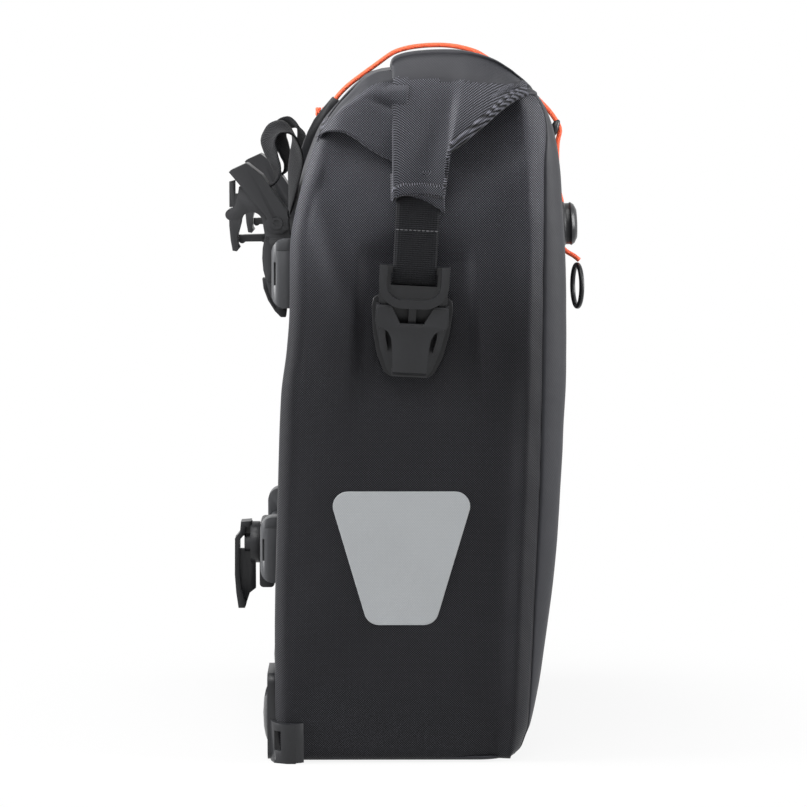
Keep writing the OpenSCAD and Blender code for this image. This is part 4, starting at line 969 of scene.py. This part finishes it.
def make_bag():
    for side, s in SIDES:
        finished(side_wall("side_cloth_" + side, s), "bag", "fabric_weave", "side_panel_" + side)
    finished(front_wall(), "bag", "fabric_smooth", "front_panel")
    finished(back_wall(), "bag", "fabric_smooth", "back_panel")
    finished(base_cloth(), "bag", "fabric_smooth", "base_panel")
    finished(roll(), "bag", "fabric_smooth", "roll_closure", "roll_end_left", "roll_end_right")
    for side, s in SIDES:
        finished(rear_ear("rear_ear_" + side, s), "bag", "fabric_weave")
        finished(hem_underlay("hem_underlay_" + side, s), "bag", "fabric_weave")


make_bag()


# ------------------------------------------------------------------ hard parts

MERGED = 0.004 * MM           # corners of a solid closer than this are one
record = frame["record"]
slots = {part["node"]: part["material_slot"] for part in record["subparts"]}
bodies = {node: body for body, members in record["behaviour"]["bodies"].items() for node in members}


def moulded(node, material, edge):
    """A merged copy of a node's solids with its edges softened by a width, standing in its place."""
    mesh = nodes[node].data.copy()
    mesh.materials.clear()
    shape = bmesh.new()
    shape.from_mesh(mesh)
    bmesh.ops.remove_doubles(shape, verts=shape.verts, dist=MERGED)
    bmesh.ops.dissolve_degenerate(shape, edges=shape.edges, dist=MERGED)
    bmesh.ops.dissolve_limit(shape, angle_limit=math.radians(0.6), verts=shape.verts, edges=shape.edges)
    shape.to_mesh(mesh)
    shape.free()
    piece = new_piece(node + "_moulding", mesh, material)
    if edge:
        bevel = piece.modifiers.new("edges", "BEVEL")
        bevel.width = edge * MM
        bevel.segments = 2
        bevel.limit_method = "ANGLE"
        bevel.angle_limit = math.radians(32)
        bevel.miter_outer = "MITER_ARC"
    smoothed(applied(piece)).data.set_sharp_from_angle(angle=math.radians(28))
    finished(piece, bodies[node], slots[node], node)


def dressed(node, material):
    """A node that keeps its own mesh and gets a finish."""
    mesh = nodes[node].data
    mesh.materials.clear()
    mesh.materials.append(material)


# Each finish with its nodes and the width that softens their edges
HARDWARE = {
    HOOK_GREY: (("hook_body_left", 0.6), ("hook_body_right", 0.6)),
    LEVER_BLACK: (("lift_lever_left", 0.55), ("lift_lever_right", 0.55), ("catch_left", 0.35),
                  ("catch_right", 0.35), ("rail_lock_left", 0.4), ("rail_lock_right", 0.4)),
    RAIL_GREY: (("upper_rail", 0.5), ("upper_rail_caps", 0.7), ("lower_rail", 0.5),
                ("lower_rail_caps", 0.7)),
    GUARD_BLACK: (("corner_guard_left", 0.5), ("corner_guard_right", 0.5), ("lower_carrier", 0.5),
                  ("lower_hook", 0.5), ("front_stud", 0.4), ("cord_plate", 0.5)),
    BUCKLE_FACE: (("buckle_socket_left", 0.8), ("buckle_socket_right", 0.8)),
    BUCKLE_BLACK: (("buckle_plug_left", 1.0), ("buckle_plug_right", 1.0), ("pull_ring", 0)),
    SHADED_PLATE_BLACK: (("buckle_plate_left", 0.35), ("buckle_plate_right", 0.35)),
    REFLECTIVE: (("reflector_left", 0.2), ("reflector_right", 0.2)),
}
for finish, members in HARDWARE.items():
    for node, edge in members:
        moulded(node, finish, edge)
for node in ("upper_rail_screws", "lower_rail_screws", "corner_guard_screws", "lower_hook_pin"):
    dressed(node, STEEL)
for node in ("hook_pins_left", "hook_pins_right"):
    dressed(node, LEVER_BLACK)
dressed("rear_board", BOARD_BLACK)


# ------------------------------------------------------------------ webbing

LEAN = math.atan((TOP_HALF - BASE_HALF) / BODY_H)   # lean of the side walls from upright
BUCKLE_TILT = math.radians(3)            # turn of the buckle's axis towards the front
BUCKLE_FOOT = (0.6, 236.0)    # depth and height from which the buckle's frame is measured
CLOSURE_WIDE, CLOSURE_THICK = 25.0, 1.6
# Height up the wall and distance off it, from under the hem to the turn round the plug's bar
CLOSURE_ROUTE = [(108, 5.6), (98, 6.8), (88, 8.6), (76, 10.6), (66, 12.0), (60, 12.3), (56.2, 11.4),
                 (54.2, 9.4), (53.8, 7.4), (54.6, 5.2)]
SEWN_AT = (84.4, 10.05)       # the sewn row on the webbing, in the same two measures
SEWN_HALF = 11                # half length of the sewn row


def on_buckle(s, a, b, c):
    """Place in a buckle's frame: a towards the front, b up the wall and c outwards."""
    depth, height = BUCKLE_FOOT
    front = a * math.cos(BUCKLE_TILT) + b * math.sin(BUCKLE_TILT)
    up = b * math.cos(BUCKLE_TILT) - a * math.sin(BUCKLE_TILT)
    return (s * (half_w(height) + up * math.sin(LEAN) + c * math.cos(LEAN)), depth - front,
            height + up * math.cos(LEAN) - c * math.sin(LEAN))


def bends_with_plug(piece, s):
    """Bakes the placement of closure webbing, or what is sewn to it, into its mesh. It is not bent between
    the bag and the buckle's plug.
    """
    Vector(on_buckle(s, 0, 106, 6)) * MM
    Vector(on_buckle(s, 0, 66, 12)) * MM
    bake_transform(piece)


def closure_strap(side, s):
    across = Vector(on_buckle(s, 1, 0, 0)) - Vector(on_buckle(s, 0, 0, 0))
    path = [(on_buckle(s, 0, b, c), across) for b, c in smooth_path(CLOSURE_ROUTE, 44)]
    strap = band("closure_webbing_" + side, path, CLOSURE_WIDE, CLOSURE_THICK, WEBBING, 10)
    bends_with_plug(strap, s)
    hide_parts("closure_strap_" + side)


def stitch_tree():
    """Geometry nodes that sew a row of stitches along the edges they are given."""
    tree = bpy.data.node_groups.new("stitches", "GeometryNodeTree")
    tree.interface.new_socket("Geometry", in_out="INPUT", socket_type="NodeSocketGeometry")
    for label in ("Pitch", "Half length", "Thread radius"):
        tree.interface.new_socket(label, in_out="INPUT", socket_type="NodeSocketFloat")
    tree.interface.new_socket("Geometry", in_out="OUTPUT", socket_type="NodeSocketGeometry")
    node = tree.nodes.new
    given, result = node("NodeGroupInput"), node("NodeGroupOutput")
    curve, resample = node("GeometryNodeMeshToCurve"), node("GeometryNodeResampleCurve")
    resample.mode = "LENGTH"
    ball, place = node("GeometryNodeMeshIcoSphere"), node("GeometryNodeInstanceOnPoints")
    ball.inputs["Radius"].default_value = 1.0
    ball.inputs["Subdivisions"].default_value = 2
    tangent, turn = node("GeometryNodeInputTangent"), node("FunctionNodeAlignRotationToVector")
    turn.axis = "Z"
    size, real = node("ShaderNodeCombineXYZ"), node("GeometryNodeRealizeInstances")
    paint = node("GeometryNodeSetMaterial")
    paint.inputs["Material"].default_value = THREAD
    for source, given_out, target, taken_in in (
            (given, "Geometry", curve, "Mesh"), (curve, "Curve", resample, "Curve"),
            (given, "Pitch", resample, "Length"), (resample, "Curve", place, "Points"),
            (ball, "Mesh", place, "Instance"), (tangent, "Tangent", turn, "Vector"),
            (turn, "Rotation", place, "Rotation"), (given, "Thread radius", size, "X"),
            (given, "Thread radius", size, "Y"), (given, "Half length", size, "Z"),
            (size, "Vector", place, "Scale"), (place, "Instances", real, "Geometry"),
            (real, "Geometry", paint, "Geometry"), (paint, "Geometry", result, "Geometry")):
        tree.links.new(source.outputs[given_out], target.inputs[taken_in])
    return tree


STITCHES = stitch_tree()


def stitched(name, line, pitch=2.3, half=0.95, radius=0.26):
    """A row of stitches along a polyline in millimetres, as a plain mesh."""
    mesh = bpy.data.meshes.new(name)
    edges = [(k, k + 1) for k in range(len(line) - 1)]
    mesh.from_pydata([Vector(p) * MM for p in line], edges, [])
    piece = new_piece(name, mesh)
    sewing = piece.modifiers.new("sewing", "NODES")
    sewing.node_group = STITCHES
    sizes = {"Pitch": pitch, "Half length": half, "Thread radius": radius}
    for item in STITCHES.interface.items_tree:
        if item.in_out == "INPUT" and item.name in sizes:
            sewing[item.identifier] = sizes[item.name] * MM
    return smoothed(applied(piece))


def closure_stitches(side, s):
    line = [on_buckle(s, a, *SEWN_AT) for a in range(-SEWN_HALF, SEWN_HALF + 1, 2)]
    bends_with_plug(stitched("closure_stitches_" + side, line), s)


for strap_side, strap_sign in SIDES:
    closure_strap(strap_side, strap_sign)
    closure_stitches(strap_side, strap_sign)

HANDLE_WIDE, HANDLE_THICK = 20.0, 1.5
STRAP_START = Vector((-101.8, 82.0, 340.95))        # middle of the webbing in the left lever's slot
# Across, in depth and up from there to the middle of the bag, then the degrees by which the webbing's
# width has turned from level to upright, and its lean
STRAP_ROUTE = [
    (0.3, 3.6, -7.2, 0, 0), (0, 0.8, -0.6, 0, 0), (0.3, -2.2, 1.6, 0, 0.05), (1.5, -4.4, 5, 0, 0.15),
    (3, -4.6, 10.2, 3, 0.25), (5.5, -2.6, 16.5, 6, 0.35), (9, -0.6, 23, 10, 0.35), (13, -1.2, 29, 14, 0.35),
    (18, -5.6, 33, 20, 0.35), (24, -11, 32.6, 28, 0.35), (31, -14.6, 27.6, 38, 0.35),
    (39, -15.6, 20, 48, 0.35), (47, -14, 12, 58, 0.3), (56, -12, 3.4, 68, 0.2),
    (66, -10.4, -4.2, 76, 0.1), (80, -9.4, -9.2, 84, 0), (101.8, -9.0, -11.0, 90, 0)]


def handle_webbing():
    half = []
    for x, y, z, turn, tilt in smooth_path(STRAP_ROUTE, 90):
        a = math.radians(turn)
        half.append((STRAP_START + Vector((x, y, z)), Vector((math.cos(a), tilt, math.sin(a)))))
    mirrored = [(Vector((-p.x, p.y, p.z)), Vector((-g.x, g.y, g.z))) for p, g in half[-2::-1]]
    strap = band("handle_webbing", half + mirrored, HANDLE_WIDE, HANDLE_THICK, WEBBING, 8)
    finished(strap, "handle", "webbing", "handle_strap")


handle_webbing()


# ------------------------------------------------------------------ elastic cord

CORD_R = 1.5
KNOT_CORD_R = 0.95            # the cord is drawn thin in its knot
# Depth and height of the cord's points: from the knot over the roll to the stud, and on to the ring
TOP_ROUTE = [
    (52.5, 384.5), (48.6, 386.6), (45.2, 390.6), (41.6, 395), (36, 400.3), (28, 406.3), (19, 412.8),
    (11.1, 418.5), (6.1, 420.9), (0, 422.6), (-6.2, 423.6), (-13.6, 424.2), (-22.8, 424.2), (-32.1, 423),
    (-41.3, 420.4), (-47.6, 417), (-54.1, 412.5), (-57.3, 409.7), (-63.5, 404.8), (-66.8, 402.3),
    (-72.7, 397.3), (-78.6, 392.7), (-84.6, 386.8), (-87.8, 383.2), (-90.9, 378.9), (-93, 375.2),
    (-93.9, 372.2), (-93.5, 369.2), (-92.6, 365.4), (-92.2, 359), (-92.3, 350), (-92.8, 340),
    (-93.8, 333.5), (-95, 329), (-95.2, 326), (-95.2, 315)]
RING_ROUTE = [(-95.2, 313), (-95.2, 305), (-95.4, 301), (-96.9, 298.4), (-99.6, 296.3), (-102.8, 294.5),
              (-105, 292.8), (-106.4, 291.6)]
KNOT = Vector((0, 55.3, 383.6))
KNOT_STEPS = 72


def elastic_cord():
    route = [(0, *p) for p in smooth_path(TOP_ROUTE, 110)]
    cord = tube("elastic_cord", route, CORD_R, 14, ORANGE)
    turns = []
    for k in range(KNOT_STEPS + 1):
        a = 2 * math.pi * k / KNOT_STEPS
        turns.append(KNOT + Vector((math.sin(a) + 1.5 * math.sin(2 * a), 0.9 * math.sin(3 * a),
                                    math.cos(a) - 1.5 * math.cos(2 * a))))
    knot = tube("cord_knot", turns, KNOT_CORD_R, 10, ORANGE)
    stub = tube("ring_cord_stub", [(0, *p) for p in smooth_path(RING_ROUTE, 24)], CORD_R, 14, ORANGE)
    finished(cord, "bag", "cord_orange", "top_cord")
    finished(knot, "bag", "cord_orange")
    finished(stub, "bag", "cord_orange", "ring_cord")
    path = [Vector(p) * MM for p in route]


elastic_cord()


CORD_STOP = (-90.9, 373.4)    # depth and height of the middle of the stop
# Height over its middle and half width of each row of the stop
STOP_ROWS = ((-5.2, 0.4), (-5.0, 1.3), (-4.2, 2.2), (-2.6, 2.9), (0, 3.2), (2.6, 2.9), (4.2, 2.2),
             (5.0, 1.3), (5.2, 0.4))
STOP_SIDES = 24


def cord_stop():
    """Small rounded stop on the cord, where it comes down in front of the roll."""
    stop_y, stop_z = CORD_STOP
    rows, cloth = [], []
    for height, reach in STOP_ROWS:
        ring = []
        for k in range(STOP_SIDES):
            a = 2 * math.pi * k / STOP_SIDES
            ring.append((1.15 * reach * math.cos(a), stop_y + 0.85 * reach * math.sin(a) - 0.28 * height,
                         stop_z + height))
        rows.append(ring)
        cloth.append([(k, height) for k in range(STOP_SIDES)])
    mesh = filled(grid_mesh("cord_stop", rows, cloth, (0, 1, 0), closed=STOP_SIDES), turned=True)
    finished(new_piece("cord_stop", mesh, GUARD_BLACK), "bag", "plastic_black")


cord_stop()


# ------------------------------------------------------------------ floor, lights and camera

FLOOR_REACH = 6.0
AMBIENT = 0.06                # strength of the world as the object is lit by it


def seen_ray(tree):
    """A socket that is 1 where the camera looks, directly, in a mirror or through glass, else 0."""
    path = tree.nodes.new("ShaderNodeLightPath")
    seen = path.outputs["Is Camera Ray"]
    for kind in ("Is Glossy Ray", "Is Transmission Ray"):
        most = tree.nodes.new("ShaderNodeMath")
        most.operation = "MAXIMUM"
        tree.links.new(seen, most.inputs[0])
        tree.links.new(path.outputs[kind], most.inputs[1])
        seen = most.outputs[0]
    return seen


def mix_shaders(tree, share, first, second, result):
    """Leads a mix of two shaders to a result: the first at share 0 and the second at share 1."""
    both = tree.nodes.new("ShaderNodeMixShader")
    for i, source in enumerate((share, first.outputs[0], second.outputs[0])):
        tree.links.new(source, both.inputs[i])
    tree.links.new(both.outputs[0], tree.nodes[result].inputs["Surface"])


def pale_floor():
    """A floor that is white where it is looked at or mirrored, a little less so round the bag's foot,
    where it keeps the shadow."""
    r = FLOOR_REACH
    mesh = bpy.data.meshes.new("floor")
    mesh.from_pydata([(-r, -r, 0), (r, -r, 0), (r, r, 0), (-r, r, 0)], [], [(0, 1, 2, 3)])
    ground = new_piece("floor", mesh)
    white = Finish("pale_floor", roughness=0.9, specular=0.1)
    tree = white.tree
    white.shader.inputs["Base Color"].default_value = rgb(0.5, 0.5, 0.5)
    glow = white.node("ShaderNodeEmission")
    glow.inputs["Strength"].default_value = 1.0
    east, north, _ = white.axes(white.object_point())
    away = (east * east + north * north) ** 0.5
    share = Wire(white, seen_ray(tree)) * (0.88 + 0.12 * away.ramp(0.12, 0.34))
    mix_shaders(tree, share.socket, white.shader, glow, "Material Output")
    mesh.materials.append(white.material)


def studio_world():
    """A world that is white where it is looked at or mirrored, and lights the object only dimly."""
    world = bpy.data.worlds.new("studio")
    bpy.context.scene.world = world
    world.use_nodes = True
    tree = world.node_tree
    dim, bright = tree.nodes["Background"], tree.nodes.new("ShaderNodeBackground")
    for background, strength in ((dim, AMBIENT), (bright, 1.0)):
        background.inputs["Color"].default_value = rgb(1, 1, 1)
        background.inputs["Strength"].default_value = strength
    mix_shaders(tree, seen_ray(tree), dim, bright, "World Output")


def softbox(name, place, aim, width, height, power):
    """A rectangular lamp at a place, turned to its aim, with its power in watts."""
    light = bpy.data.lights.new(name, "AREA")
    light.shape = "RECTANGLE"
    light.size, light.size_y = width, height
    light.energy = power
    lamp = bpy.data.objects.new(name, light)
    lamp.location = place
    lamp.rotation_euler = (Vector(aim) - Vector(place)).to_track_quat("-Z", "Y").to_euler()
    bpy.context.scene.collection.objects.link(lamp)


EYE = Vector((-1.88867, 0.01495, 0.40894))
LOOKED_AT = Vector((0, 0.00275, 0.20210))
SENSOR_WIDE, FOCAL_LENGTH = 36.0, 135.83


def camera():
    lens = bpy.data.cameras.new("camera")
    lens.sensor_fit = "HORIZONTAL"
    lens.sensor_width = SENSOR_WIDE
    lens.lens = FOCAL_LENGTH
    eye = bpy.data.objects.new("camera", lens)
    eye.location = EYE
    eye.rotation_euler = (LOOKED_AT - EYE).to_track_quat("-Z", "Y").to_euler()
    bpy.context.scene.collection.objects.link(eye)
    bpy.context.scene.camera = eye


pale_floor()
studio_world()
softbox("front_box", (-0.38, -1.9, 0.75), (-0.05, -0.05, 0.22), 0.8, 1.4, 72)
softbox("rear_box", (-0.36, 1.9, 0.95), (-0.05, 0.05, 0.24), 0.8, 1.4, 112)
softbox("crown_box", (-0.46, 0.05, 0.98), (-0.12, 0, 0.35), 0.5, 1.0, 9.5)
softbox("side_fill", (-2.4, 0.3, 1.0), (0, 0, 0.2), 1.4, 1.0, 1.5)
camera()
bpy.context.scene.view_settings.view_transform = "Standard"
